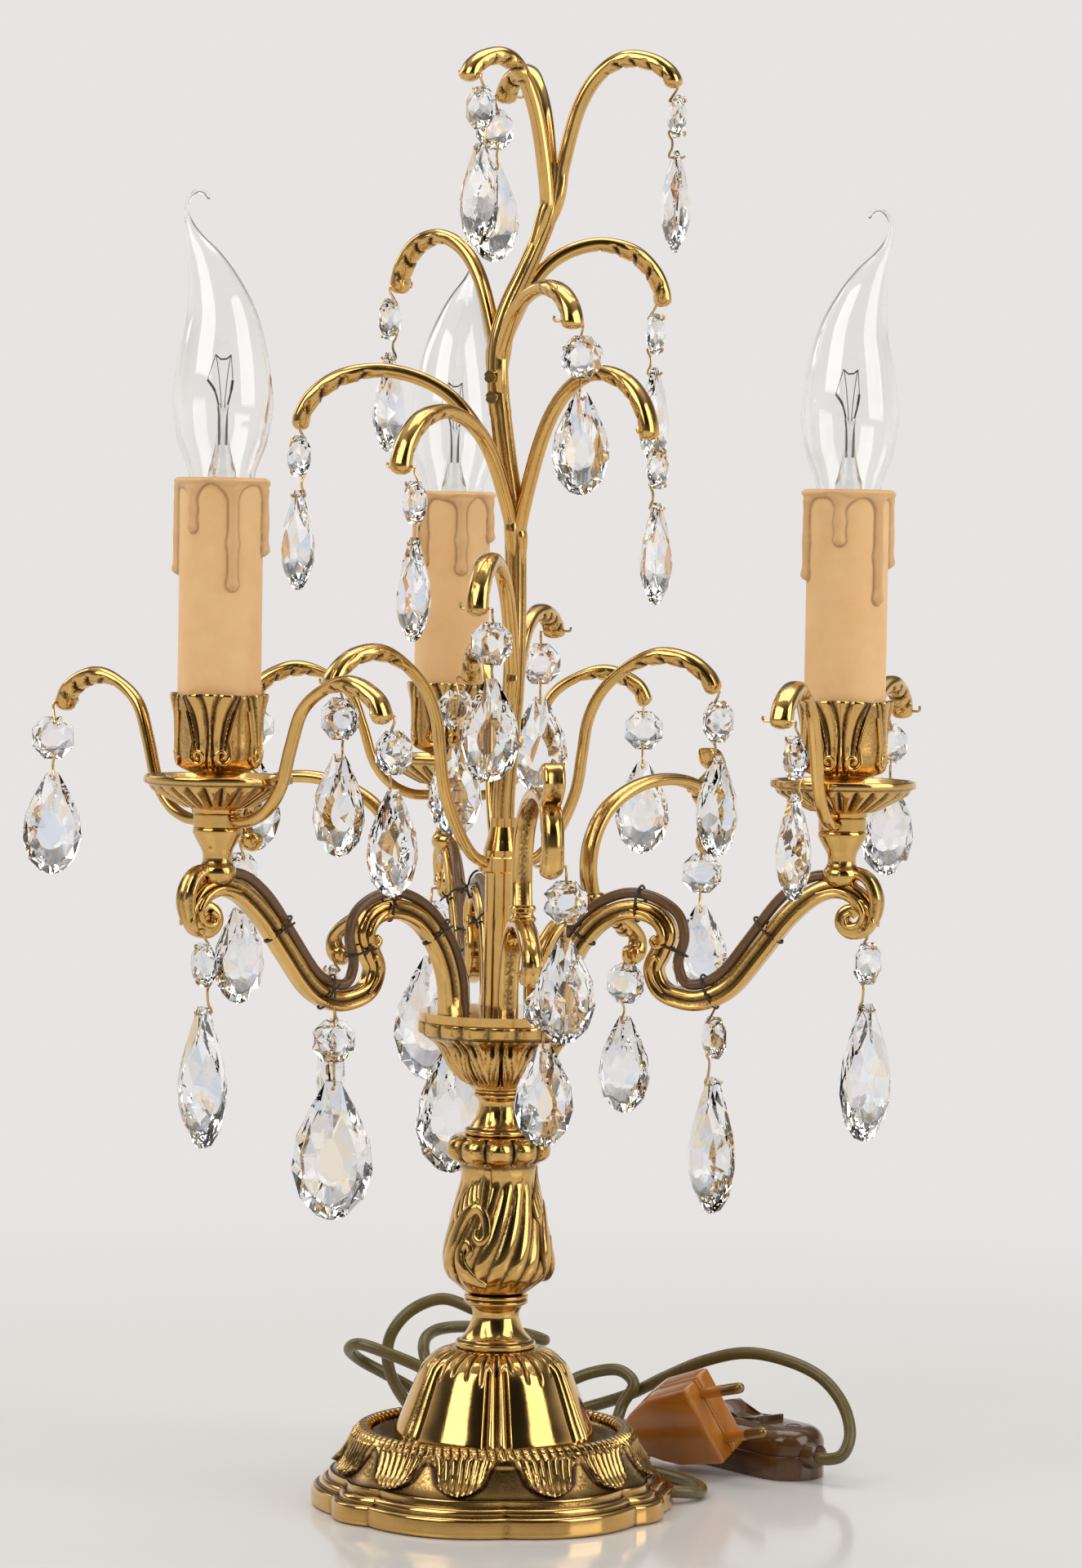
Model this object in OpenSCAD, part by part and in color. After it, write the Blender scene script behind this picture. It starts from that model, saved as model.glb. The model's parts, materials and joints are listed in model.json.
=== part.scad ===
// Girandole table light: a cast brass stem with three candle arms, a branching
// crystal tree, scroll brackets and faceted glass drops. All lengths are in millimetres.
// The origin is on the table, under the middle of the base. The front is -Y.

/* [Base] */
// Greatest radius of the lobed plinth
plinth_r = 62.5; // [55:0.5:75]
// Height of the plinth's upright edge
plinth_h = 7; // [5.8:0.1:12]
// Depth of the notches between the plinth's lobes
lobe_notch = 3; // [0:0.1:6]
// Height of the whole base casting
base_h = 54.4; // [48:0.2:70]
// Wall thickness of the base casting
base_wall = 3; // [2.4:0.1:4]
// Radius of the bell that rises out of the base
bell_r = 34.1; // [31:0.1:36]

/* [Column] */
// Height of the lower turned spool
lower_spool_h = 18.4; // [14:0.2:26]
// Height of the cast baluster with its crown of knobs
baluster_h = 54.6; // [44:0.2:70]
// Belly radius of the baluster
baluster_r = 18.5; // [16:0.1:24]
// Height of the upper turned spool
upper_spool_h = 15.6; // [12:0.2:24]
// Height of the leaf cup under the arms
leaf_cup_h = 23.5; // [18:0.5:32]
// Radius of the leaf cup's rim
leaf_cup_r = 28.5; // [27:0.1:34]
// Thickness of the round plate that carries the arms
plate_t = 3; // [2:0.1:5]
// Height of the plain tube above the plate
tube_h = 47.5; // [44:0.5:70]
// Outside radius of the plain tube
tube_r = 6; // [5.6:0.1:7]
// Radius of the threaded pipe that clamps the column
pipe_r = 4.8; // [4.2:0.1:5]
// Radius of the wire way inside the pipe
pipe_bore_r = 3; // [2.7:0.1:3.4]

/* [Candles] */
// Distance of each candle from the lamp's axis
candle_reach = 120; // [112:1:140]
// Directions of the candle arms, in degrees from +X
candle_angles = [220, 340, 100];
// Width of an arm's section
arm_w = 7; // [5:0.1:8]
// Thickness of an arm's section
arm_t = 7; // [5:0.1:7.6]
// Outside radius of the candle sleeve
sleeve_r = 13.5; // [13:0.1:15]
// Wall of the candle sleeve
sleeve_wall = 1.2; // [0.8:0.1:1.4]
// Length of the candle sleeve
sleeve_h = 77.5; // [70:0.5:100]
// Rim radius of the drip pan
pan_r = 24.2; // [18:0.1:25]
// Largest radius of the bulb's glass
bulb_r = 16.2; // [14:0.1:19]
// Thickness of the bulb's glass
bulb_wall = 0.8; // [0.5:0.1:1.2]
// Diameter of the cable tied along an arm
arm_cable_d = 4.4; // [3:0.1:5]

/* [Drops] */
// Width across the octagon bead
bead_d = 14; // [10:0.2:16]
// Thickness of the octagon bead
bead_t = 6; // [4:0.2:8]
// Height of a standard pear drop
pear_h = 34; // [28:0.5:40]
// Width of a standard pear drop
pear_w = 20; // [14:0.5:22]
// Thickness of a standard pear drop
pear_t = 9; // [7:0.2:12]
// Size of the arms' large pear drops compared with the standard ones
large_pear = 1.35; // [1:0.05:1.5]
// Diameter of the wire that links the drops
wire_d = 0.9; // [0.6:0.1:1.2]
// Clearance round the wire in its holes
wire_clear = 0.35; // [0.2:0.05:0.5]

/* [Cord] */
// Diameter of the mains cord
cord_d = 4.4; // [4:0.1:5.4]
// Length of the in-line switch
switch_l = 68; // [60:1:72]
// Width of the in-line switch
switch_w = 25; // [22:0.5:28]
// Height of the in-line switch
switch_h = 18; // [14:0.5:22]
// Radius of a plug pin
plug_pin_r = 2; // [1.9:0.05:2.4]
// Length of a plug pin
plug_pin_l = 19; // [17:0.5:20]

/* [Hidden] */
$fn = 48;
brass = "#b9953f";
brass_dark = "#8d6a2b";
wax = "#efc48f";
clear_glass = "#dfe8ea";
cable_brown = "#5b4a2a";
amber = "#a8742a";
switch_brown = "#6a4a22";
felt_green = "#3d4a35";

// Gap between turned pieces on the pipe and a slip fit in general
slip = 0.2;
// Overlap that lets two shapes of one casting fuse
weld = 0.6;

// Heights up the column, each from the piece below it
z_lower_spool = base_h;
z_baluster = z_lower_spool + lower_spool_h;
z_upper_spool = z_baluster + baluster_h;
z_leaf_cup = z_upper_spool + upper_spool_h;
z_plate = z_leaf_cup + leaf_cup_h;
z_deck = z_plate + plate_t;
z_hub = z_deck + tube_h;
hub_t = 5.5;
hub_r = 8.4;
z_ferrule = z_hub + hub_t;
ferrule_h = 13;
spigot_r = 3.2;
spigot_depth = 6;
z_tree = z_ferrule + ferrule_h;
column_bore = pipe_r + slip;
pipe_low = base_h - 14;
pipe_high = z_ferrule + 5;

// The plinth's outline: lobes in degrees from the first cusp, three times round
cusp_angle = 275;
lobe_spans = [49, 22, 49];
side_count = 3;
cord_exit_z = 4.2;
cord_exit_angle = 5;
cord_hole_r = cord_d / 2 + slip;
pad_t = 1.2;
pad_gap = 0.3;

// Candle pieces, upward from the deck
vase_foot = 47;
vase_h = 18.5;
z_vase_top = z_deck + vase_foot + vase_h;
candle_hub_t = 4.5;
candle_hub_r = 8;
z_pan = z_vase_top + candle_hub_t;
pan_h = 12.5;
pan_floor = 6.5;
z_cup = z_pan + pan_floor;
cup_h = 32.5;
cup_recess = 8;
cup_lip = 1;
z_sleeve = z_cup + cup_h - cup_recess;
nipple_r = 4.8;
nipple_bore = nipple_r + slip;
nipple_over = 8;
holder_r = sleeve_r - sleeve_wall - 0.5;
holder_under_top = 2;
socket_depth = 26;
cap_r = 6.9;
socket_r = cap_r + 0.4;
z_socket_top = z_sleeve + sleeve_h - holder_under_top;
glass_lift = 0.5;

// Sections of the swept brass
strap_w = 7;
strap_t = 4;
spider_d = 3.6;
trunk_r = 3.7;
branch_d = 5.2;
root_drop = 6;
tip_w = 7.6;
tip_t = 6;

// Hook holes and wires
hook_hole_r = wire_d / 2 + wire_clear;
hook_over = 1.2;
bead_hole_in = 2;
pear_hole_in = 2.2;
hook_to_bead = 11.5;
bead_to_pear = 11.5;

// Reach that the arm and cable lines are drawn for
drawn_reach = 120;
// Arm line from the foot on the deck to the end scroll: distance from the axis, height over the deck
arm_line = [
    [22, -0.2], [23.5, 12.5], [28, 23.5], [36, 32.5], [46, 36.5], [55, 35], [59.5, 29.5], [57.5, 23],
    [55, 17], [57.5, 10.5], [63.5, 7.5], [72, 7], [82, 12], [92, 24], [101, 35.5], [110, 43.5],
    [118, 46.5], [125, 44.5], [129.5, 39], [128.5, 34], [124, 32.5]
];
// Cable line on the arm's inner and upper side, bridging its step
cable_line = [
    [15.7, -9], [15.8, 2], [17.2, 14], [22.5, 26.5], [32, 37], [44, 42.4], [55, 41.4], [63.5, 36],
    [66, 28], [64, 19.5], [66, 13.4], [71.5, 13], [79, 17.4], [88, 28.8], [97, 40.8], [104.5, 47.8], [110, 51]
];
// Arms of the centre spider: distance from the axis, height over the hub's middle
centre_line = [
    [6.5, 0], [14, 4], [21, 14], [26, 26], [28, 38], [30, 50], [35, 60], [44, 68], [55, 72],
    [65, 70.5], [72, 65.5], [75, 60]
];
// Arms of a candle's spider: distance from the candle, height over its hub's middle
candle_line = [
    [6.5, 0], [14, 0.4], [21.5, 4], [27.8, 12], [32, 25], [37, 37], [47, 44], [58, 45.5], [68, 41], [72, 34]
];
candle_spider_angles = [[140, 320], [70, 250], [5, 185]];
// Scroll brackets between the arms
scroll_angles = [280, 40, 160];
low_scroll_line = [
    [14, -0.2], [14.6, 10.5], [19.5, 22.5], [28, 30.5], [40, 33.2], [50, 31], [57, 27.5], [61.5, 22.5],
    [60.5, 17.5], [56, 17]
];
high_scroll_line = [
    [41.5, 33], [38.5, 46], [40, 57.5], [46, 67.5], [57, 74.5], [69, 77.5], [81, 77.2], [90, 74.2],
    [95.5, 69], [97, 62.5], [95, 56], [89.5, 54.6]
];
scroll_knob_line = [[88, 74], [94, 77.5], [97.5, 81.5], [95, 85.5]];

// Tree trunk: height over the ferrule, sideways offset
trunk_line = [
    [-4, 0], [8, 0], [30, 1.5], [44, 3], [70, 3.2], [100, 2.8], [122, -1], [144, -4], [159, -5],
    [172, -2], [187, 5.5], [203, 12.5], [216, 14.5], [230, 14]
];
lap_low = 136;
lap_high = 157;
lap_angle = 240;
lap_gap = 0.1;
lap_shoulder = 0.8;
lap_r = trunk_r + 1.2;
screw_heights = [142.5, 149.5];
screw_head_r = 2.1;
screw_shank_r = 1.2;
// Branches: direction, then height of leaving, crest and tip over the ferrule, then reach
upper_branches = [
    [222, 211, 256, 246.5, 38.5], [118, 216, 254.5, 245, 37], [340, 220, 256.5, 246.5, 42],
    [140, 163, 198, 179, 46], [15, 165, 195.5, 175, 57], [300, 158, 178.5, 164, 50]
];
lower_branches = [
    [172, 118, 151.5, 131, 72], [237, 103, 136.5, 115, 68], [320, 101, 150.5, 128, 58],
    [255, 52, 87.5, 69, 48], [70, 46, 70, 61, 40]
];
// Outward share and rise share of a branch up to its crest, then outward share and drop share
branch_rise = [[0.17, 0.48], [0.29, 0.76], [0.44, 0.93], [0.62, 1]];
branch_drop = [[0.81, 0.134], [0.93, 0.426], [0.987, 0.741], [1, 1]];

// Where the cord runs from the pipe to the switch, then from the switch to the plug
switch_place = [91, 77, 0];
switch_turn = 128;
switch_way = [cos(switch_turn), sin(switch_turn), 0];
switch_back_end = switch_place + switch_way * switch_l / 2 + [0, 0, switch_h / 2];
switch_front_end = switch_place - switch_way * switch_l / 2 + [0, 0, switch_h / 2];
plug_l = 36;
plug_place = [65.2, 61.3, 18.5];
plug_turn = [27, -14, -44];
plug_way = [cos(plug_turn[1]) * cos(plug_turn[2]), cos(plug_turn[1]) * sin(plug_turn[2]), -sin(plug_turn[1])];
plug_rear = plug_place - plug_way * plug_l / 2;
cord_lead = 9;
cord_in = concat(
    [[0, 0, 62], [0, 0, 44], [1, 0, 32], [6, 1, 20], [18, 2, 10], [34, 3, 5], [48, 4, 4.2], [56, 4.9, 4.2],
     [62, 5.4, 4.2], [68.5, 8.5, 3.4], [71.5, 15, 2.4], [71.5, 24, 2.4], [66, 36, 2.4], [57, 48, 2.4],
     [46, 60, 2.4], [37, 72, 2.4], [31, 87, 2.4], [31, 103, 2.4], [38, 116, 3.4], [49, 121, 6], [58, 118, 8.4]],
    [switch_back_end + switch_way * cord_lead, switch_back_end]
);
cord_out = concat(
    [switch_front_end, switch_front_end - switch_way * cord_lead],
    [[122.5, 40.5, 11.5], [125, 44, 18.5], [122.5, 51, 27.5], [115, 58.5, 35.5], [103, 66, 40], [89, 74, 41],
     [74.5, 82, 36.5], [60.5, 89.5, 29], [48, 96, 21.5], [32, 102.5, 15], [14, 105, 9.5], [-8, 104, 10],
     [-22, 103, 16], [-32, 102, 22], [-42, 101, 27.5], [-50, 97.5, 32.5], [-53.5, 90, 37.5],
     [-49.5, 83, 40.5], [-39.5, 79.5, 38], [-27, 79, 33], [-13, 80, 25], [-1, 81.5, 15.5], [4, 85.5, 7.5],
     [-1, 91, 3.4], [-11, 94.5, 2.6], [-23, 94, 8.5], [-33, 92.5, 18.5], [-39, 91.5, 30], [-39, 92, 41.5],
     [-32, 93, 51], [-20.5, 95, 55.5], [-9, 97.5, 51.5], [2, 100.5, 45.5], [12, 104.5, 40.5],
     [17, 110.5, 38.5], [11, 116, 39.5], [-1, 116.5, 41.5], [-14, 113, 42.5], [-22.5, 107.5, 42],
     [-26.5, 100, 39.5], [-26, 93, 34], [-20.5, 89.5, 27], [-9, 91, 21.5], [7, 97, 20], [22, 100.5, 23.5],
     [34, 99.5, 28.5], [44, 95, 30.5], [49.5, 89.5, 26.5], [45.5, 88.5, 19], [44, 85, 13.5]],
    [plug_rear - plug_way * cord_lead, plug_rear]
);

// Drops: where each one hooks in, the way its hole points, the way it faces, and its place's half width
function polar(angle, r, z) = [r * cos(angle), r * sin(angle), z];
function trunk_x(h) = lookup(h, trunk_line);
function trunk_at(h) = [trunk_x(h), 0, z_tree + h];
function candle_at(i) = polar(candle_angles[i], candle_reach, 0);
function hook_on_branch(b) = trunk_at(b[1]) + polar(b[0], b[4] - 0.8, b[3] - b[1] + 2.4);

branches = concat(upper_branches, lower_branches);
tree_turns = [-2, 2, 30, 15, -35, -10, 40, -27, 15, 0, 25];
tree_names = [
    "drop_top_left", "drop_top_back", "drop_top_right", "drop_high_left", "drop_high_right",
    "drop_high_front", "drop_mid_left", "drop_mid_front", "drop_mid_right", "drop_low_front", "drop_low_back"
];
arm_names = ["left", "right", "back"];
scroll_names = ["front", "right", "left"];
spider_names = [["left_outer", "left_inner"], ["right_rear", "right_front"], ["back_right", "back_left"]];
// Where along its line each bracket or arm is drilled
centre_hook = [74.6, 61.8];
candle_hook = [71.6, 36];
arm_end_hook = [128.2, 33];
arm_mid_hook = [75, 5.7];
high_scroll_hook = [95.4, 55.6];
low_scroll_hook = [60.4, 18];
centre_turns = [20, -25, 10];
candle_turns = [[-30, -10], [40, -45], [75, -80]];
arm_end_turns = [-5, -20, -20];
arm_mid_turns = [45, 50, 15];
high_scroll_turns = [-10, 40, -35];
low_scroll_turns = [5, 20, 15];

function arm_hook(i, p) = polar(candle_angles[i], p[0] * candle_reach / drawn_reach, z_deck + p[1]);
function candle_hook_at(i, k) = candle_at(i)
    + polar(candle_spider_angles[i][k], candle_hook[0], z_vase_top + candle_hub_t / 2 + candle_hook[1]);

// Each drop: name, hook point, branch direction, facing direction, half width there, size of the pear
drops = concat(
    [for (i = [0:len(branches) - 1])
        [tree_names[i], hook_on_branch(branches[i]), branches[i][0],
         branches[i][0] + tree_turns[i], tip_w / 2, 1]],
    [for (i = [0:2])
        [str("drop_centre_", arm_names[i]),
         polar(candle_angles[i], centre_hook[0], z_hub + hub_t / 2 + centre_hook[1]),
         candle_angles[i], candle_angles[i] + centre_turns[i], tip_w / 2, 1]],
    [for (i = [0:2]) for (k = [0:1])
        [str("drop_candle_", spider_names[i][k]), candle_hook_at(i, k), candle_spider_angles[i][k],
         candle_spider_angles[i][k] + candle_turns[i][k], tip_w / 2, 1]],
    [for (i = [0:2])
        [str("drop_arm_end_", arm_names[i]), arm_hook(i, arm_end_hook), candle_angles[i],
         candle_angles[i] + arm_end_turns[i], arm_w / 2, large_pear]],
    [for (i = [0:2])
        [str("drop_arm_mid_", arm_names[i]), arm_hook(i, arm_mid_hook), candle_angles[i],
         candle_angles[i] + arm_mid_turns[i], arm_w / 2, large_pear]],
    [for (i = [0:2])
        [str("drop_scroll_high_", scroll_names[i]),
         polar(scroll_angles[i], high_scroll_hook[0], z_deck + high_scroll_hook[1]),
         scroll_angles[i], scroll_angles[i] + high_scroll_turns[i], strap_w / 2, 1]],
    [for (i = [0:2])
        [str("drop_scroll_low_", scroll_names[i]),
         polar(scroll_angles[i], low_scroll_hook[0], z_deck + low_scroll_hook[1]),
         scroll_angles[i], scroll_angles[i] + low_scroll_turns[i], strap_w / 2, 1]]
);
bulb_names = ["bulb_left", "bulb_right", "bulb_back"];
bulb_bends = [180, 0, 60];

// Curves and sweeps

function unit(v) = v / norm(v);
function curve_point(a, b, c, d, u) =
    0.5 * (2 * b + (c - a) * u + (2 * a - 5 * b + 4 * c - d) * u * u + (3 * b - a - 3 * c + d) * u * u * u);
function curve(p, steps) = concat(
    [for (i = [0:len(p) - 2]) for (k = [0:steps - 1])
        curve_point(p[max(i - 1, 0)], p[i], p[i + 1], p[min(i + 2, len(p) - 1)], k / steps)],
    [p[len(p) - 1]]
);
function standing(line, angle, base) = [for (p = line) polar(angle, p[0], base + p[1])];
function heading(path, i) = unit(path[min(i + 1, len(path) - 1)] - path[max(i - 1, 0)]);
function across(way, side) = unit(side - (side * way) * way);
function tangent_side(angle) = [-sin(angle), cos(angle), 0];

// A ring of points round each path point, half_w along side and half_t square to it
module sweep(path, half_w, half_t, side, sides = 8) {
    last = len(path) - 1;
    turn = 180 / sides;
    points = [for (i = [0:last])
        let (way = heading(path, i), b = across(way, side), n = cross(way, b), u = i / last)
        for (k = [0:sides - 1])
            path[i] + b * lookup(u, half_w) * cos(360 * k / sides + turn)
                + n * lookup(u, half_t) * sin(360 * k / sides + turn)];
    skin = [for (i = [0:last - 1]) for (k = [0:sides - 1])
        let (a = i * sides + k, b = i * sides + (k + 1) % sides)
        each [[a, a + sides, b], [b, a + sides, b + sides]]];
    caps = [[for (k = [0:sides - 1]) k], [for (k = [sides - 1:-1:0]) last * sides + k]];
    polyhedron(points, concat(skin, caps));
}

// The same width all along
function even(v) = [[0, v], [1, v]];
// A rod that swells to a leafed tip
function leafed(rod, tip) =
    [[0, rod * 0.8], [0.1, rod], [0.62, rod], [0.85, tip], [0.97, tip], [1, tip * 0.8]];

// A tube along a route, with rings turned as little as possible
function carried(path, i, b) = across(heading(path, i), b);
function frames(path, i = 0, b = [0, 0, 1], made = []) =
    i == len(path) ? made : let (c = carried(path, i, b)) frames(path, i + 1, c, concat(made, [c]));
module tube(path, r, sides = 8) {
    last = len(path) - 1;
    first = abs(heading(path, 0)[2]) > 0.9 ? [1, 0, 0] : [0, 0, 1];
    sideways = frames(path, 0, first);
    points = [for (i = [0:last])
        let (way = heading(path, i), b = sideways[i], n = cross(way, b))
        for (k = [0:sides - 1])
            path[i] + r * (b * cos(360 * k / sides) + n * sin(360 * k / sides))];
    skin = [for (i = [0:last - 1]) for (k = [0:sides - 1])
        let (a = i * sides + k, b = i * sides + (k + 1) % sides)
        each [[a, a + sides, b], [b, a + sides, b + sides]]];
    caps = [[for (k = [0:sides - 1]) k], [for (k = [sides - 1:-1:0]) last * sides + k]];
    polyhedron(points, concat(skin, caps));
}

// A drilled hole across a swept piece, at a hook point
module hook_hole(place, angle) {
    translate(place) rotate([90, 0, angle]) cylinder(r = hook_hole_r, h = 4 * tip_w, center = true);
}

module ring(outer, inner, h) {
    difference() {
        cylinder(r = outer, h = h);
        translate([0, 0, -1]) cylinder(r = inner, h = h + 2);
    }
}

// Base and column

function lobe_start(i) = i == 0 ? 0 : lobe_start(i - 1) + lobe_spans[i - 1];
lobe_steps = 6;
plinth_outline = [for (s = [0:side_count - 1]) for (i = [0:len(lobe_spans) - 1]) for (k = [0:lobe_steps - 1])
    let (u = k / lobe_steps, a = cusp_angle + s * 360 / side_count + lobe_start(i) + u * lobe_spans[i])
    (plinth_r - lobe_notch * (1 - sin(180 * u))) * [cos(a), sin(a)]];

moulding_r = plinth_r - lobe_notch;
inner_r = moulding_r - base_wall;
bell_inner_r = bell_r - base_wall;
base_profile = [
    [moulding_r - 1.5, plinth_h - weld], [moulding_r - 1.5, plinth_h + 1.6], [moulding_r - 4, plinth_h + 2.4],
    [moulding_r - 4.6, plinth_h + 5], [moulding_r - 5, plinth_h + 5.6], [moulding_r - 8.4, base_h - 37],
    [moulding_r - 11.4, base_h - 30.4], [moulding_r - 12.2, base_h - 28], [moulding_r - 14.6, base_h - 26.9],
    [moulding_r - 17.2, base_h - 29], [moulding_r - 19.6, base_h - 31.6],
    [bell_r, base_h - 31.6], [bell_r - 2.6, base_h - 26], [bell_r - 5.6, base_h - 17.6],
    [bell_r - 10.1, base_h - 6], [bell_r - 14.6, base_h - 1.2], [bell_r - 18.6, base_h]
];

module base_casting() {
    color(brass)
    difference() {
        union() {
            linear_extrude(plinth_h) polygon(plinth_outline);
            rotate_extrude() polygon(concat([[0, plinth_h - weld]], base_profile, [[0, base_h]]));
        }
        translate([0, 0, -1]) cylinder(r = inner_r - 2, h = plinth_h + 1);
        rotate_extrude() polygon([
            [0, plinth_h - 1], [inner_r - 2, plinth_h - 1], [inner_r - 8, plinth_h + 3],
            [inner_r - 14, base_h - 34.5], [bell_inner_r - 3.1, base_h - 34.5], [bell_inner_r - 9.1, base_h - 17.6],
            [bell_inner_r - 16.6, base_h - 4.4], [0, base_h - 4.4]
        ]);
        translate([0, 0, base_h - 6]) cylinder(r = column_bore, h = 7);
        rotate([0, 0, cord_exit_angle]) translate([0, 0, cord_exit_z]) rotate([0, 90, 0])
            cylinder(r = cord_hole_r, h = plinth_r + 2);
    }
}

// A turned piece on the pipe: radius at each share of its height
module turned(shape, z, h) {
    translate([0, 0, z]) difference() {
        rotate_extrude() polygon(concat([[0, 0]], [for (p = shape) [p[0], p[1] * h]], [[0, h]]));
        translate([0, 0, -1]) cylinder(r = column_bore, h = h + 2);
    }
}

// A felt-faced disc that closes the base from below
module base_pad() {
    color(felt_green) cylinder(r = inner_r - 2 - pad_gap, h = pad_t);
}

module column_spools() {
    color(brass) {
        turned(
            [[13.7, 0], [13.7, 0.12], [11.6, 0.18], [9.4, 0.32], [8, 0.52], [8.2, 0.66], [9.8, 0.8],
             [11, 0.86], [11, 1]],
            z_lower_spool, lower_spool_h);
        turned(
            [[11.7, 0], [11.7, 0.12], [9.6, 0.22], [7.4, 0.5], [7, 0.66], [8, 0.82], [8.6, 0.88], [8.6, 1]],
            z_upper_spool, upper_spool_h);
    }
}

module baluster() {
    r = baluster_r;
    color(brass) turned(
        [[9.4, 0], [r * 0.7, 0.05], [r * 0.9, 0.11], [r, 0.2], [r * 0.99, 0.26], [r * 0.9, 0.42],
         [r * 0.78, 0.57], [r * 0.69, 0.7], [r * 0.68, 0.78], [r * 0.76, 0.85], [r, 0.88],
         [r, 0.96], [r * 0.8, 1]],
        z_baluster, baluster_h);
}

module leaf_cup() {
    rim = leaf_cup_r;
    wall = 2.6;
    color(brass)
    translate([0, 0, z_leaf_cup]) difference() {
        rotate_extrude() polygon([
            [0, 0], [9.4, 0], [10.6, 0.12 * leaf_cup_h], [15.8, 0.34 * leaf_cup_h], [19.4, 0.58 * leaf_cup_h],
            [rim - 5.6, 0.74 * leaf_cup_h], [rim - 4, 0.79 * leaf_cup_h], [rim, 0.83 * leaf_cup_h],
            [rim, leaf_cup_h], [0, leaf_cup_h]
        ]);
        rotate_extrude() polygon([
            [0, 0.46 * leaf_cup_h], [15.8 - wall, 0.46 * leaf_cup_h], [rim - 5.6 - wall, 0.78 * leaf_cup_h],
            [rim - 5.6 - wall, leaf_cup_h + 1], [0, leaf_cup_h + 1]
        ]);
        translate([0, 0, -1]) cylinder(r = column_bore, h = leaf_cup_h);
    }
}

module arm_plate() {
    color(brass)
    translate([0, 0, z_plate]) difference() {
        cylinder(r = leaf_cup_r - 0.6, h = plate_t);
        translate([0, 0, -1]) cylinder(r = column_bore, h = plate_t + 2);
        for (a = candle_angles)
            translate(polar(a, cable_line[1][0], -1)) cylinder(r = arm_cable_d / 2 + 0.5, h = plate_t + 2);
    }
}

module centre_tube() {
    color(brass) translate([0, 0, z_deck]) ring(tube_r, column_bore, tube_h);
}

module centre_spider() {
    middle = z_hub + hub_t / 2;
    color(brass)
    difference() {
        union() {
            translate([0, 0, z_hub]) ring(hub_r, column_bore, hub_t);
            for (a = candle_angles)
                sweep(curve(standing(centre_line, a, middle), 2), leafed(spider_d / 2 + 0.4, tip_w / 2),
                    leafed(spider_d / 2, tip_t / 2), tangent_side(a), 6);
        }
        for (i = [0:2]) hook_hole(drops[len(branches) + i][1], candle_angles[i]);
    }
}

module tree_ferrule() {
    color(brass)
    translate([0, 0, z_ferrule]) difference() {
        rotate_extrude() polygon([
            [0, 0], [tube_r + 0.6, 0], [tube_r + 0.6, 2], [tube_r - 0.4, 5.5],
            [spigot_r + 1.3, ferrule_h - 3], [spigot_r + 1.3, ferrule_h], [0, ferrule_h]
        ]);
        translate([0, 0, -1]) cylinder(r = column_bore, h = pipe_high - z_ferrule + 1.4);
        cylinder(r = spigot_r + slip / 2, h = ferrule_h + 1);
    }
}

// Tree

function branch_path(b) = let (root = trunk_at(b[1]), low = trunk_at(b[1] - root_drop)) curve(concat(
    [low + polar(b[0], 1.2, 0), root + polar(b[0], 2.2, 0)],
    [for (p = branch_rise) root + polar(b[0], p[0] * b[4], p[1] * (b[2] - b[1]))],
    [for (p = branch_drop) root + polar(b[0], p[0] * b[4], b[2] - b[1] - p[1] * (b[2] - b[3]))]), 2);

module branch(b) {
    rod = branch_d / 2;
    sweep(branch_path(b), leafed(rod, tip_w / 2), leafed(rod, tip_t / 2), tangent_side(b[0]));
}

module trunk(low, high, thin) {
    heights = concat([low], [for (p = trunk_line) if (p[0] > low + 3 && p[0] < high - 3) p[0]], [high]);
    sweep(curve([for (h = heights) trunk_at(h)], 2), [[0, trunk_r], [1, trunk_r - thin]],
        [[0, trunk_r], [1, trunk_r - thin]], [0, 1, 0]);
}

// The half of the trunk that the other casting takes up in the lap joint
module lap_half(front) {
    middle = (lap_low + lap_high) / 2;
    way = front ? 0 : 180;
    translate(trunk_at(middle)) rotate([0, 0, lap_angle + way])
        translate([-lap_gap / 2, -lap_r, lap_low - middle]) cube([lap_r, 2 * lap_r, lap_high - lap_low]);
}

module lap_screw_holes() {
    for (h = screw_heights)
        translate(trunk_at(h)) rotate([0, 90, lap_angle])
            cylinder(r = screw_shank_r + slip / 2, h = 4 * trunk_r, center = true);
}

module tree_lower() {
    color(brass)
    difference() {
        union() {
            translate([0, 0, z_tree - spigot_depth]) cylinder(r = spigot_r, h = spigot_depth + 4);
            trunk(0.4, lap_high - lap_shoulder, 0.2);
            for (b = lower_branches) branch(b);
        }
        lap_half(true);
        lap_screw_holes();
        for (b = lower_branches) hook_hole(hook_on_branch(b), b[0]);
    }
}

module tree_upper() {
    color(brass)
    difference() {
        union() {
            trunk(lap_low + lap_shoulder, trunk_line[len(trunk_line) - 1][0], 0.5);
            for (b = upper_branches) branch(b);
        }
        lap_half(false);
        lap_screw_holes();
        for (b = upper_branches) hook_hole(hook_on_branch(b), b[0]);
    }
}

// Candles

module candle_arms() {
    taper = [[0, 1], [0.75, 1], [0.9, 0.9], [1, 0.62]];
    half_w = [for (p = taper) [p[0], p[1] * arm_w / 2]];
    half_t = [for (p = taper) [p[0], p[1] * arm_t / 2]];
    stretch = candle_reach / drawn_reach;
    line = [for (p = arm_line) [p[0] * stretch, p[1]]];
    color(brass)
    for (i = [0:2])
        difference() {
            union() {
                sweep(curve(standing(line, candle_angles[i], z_deck), 2), half_w, half_t,
                    tangent_side(candle_angles[i]));
                translate(candle_at(i) + [0, 0, z_deck + vase_foot]) arm_vase();
            }
            hook_hole(arm_hook(i, arm_end_hook), candle_angles[i]);
            hook_hole(arm_hook(i, arm_mid_hook), candle_angles[i]);
            translate(candle_at(i) + polar(candle_angles[i], 0, z_deck - 1)) cut_below_deck();
        }
}

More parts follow.
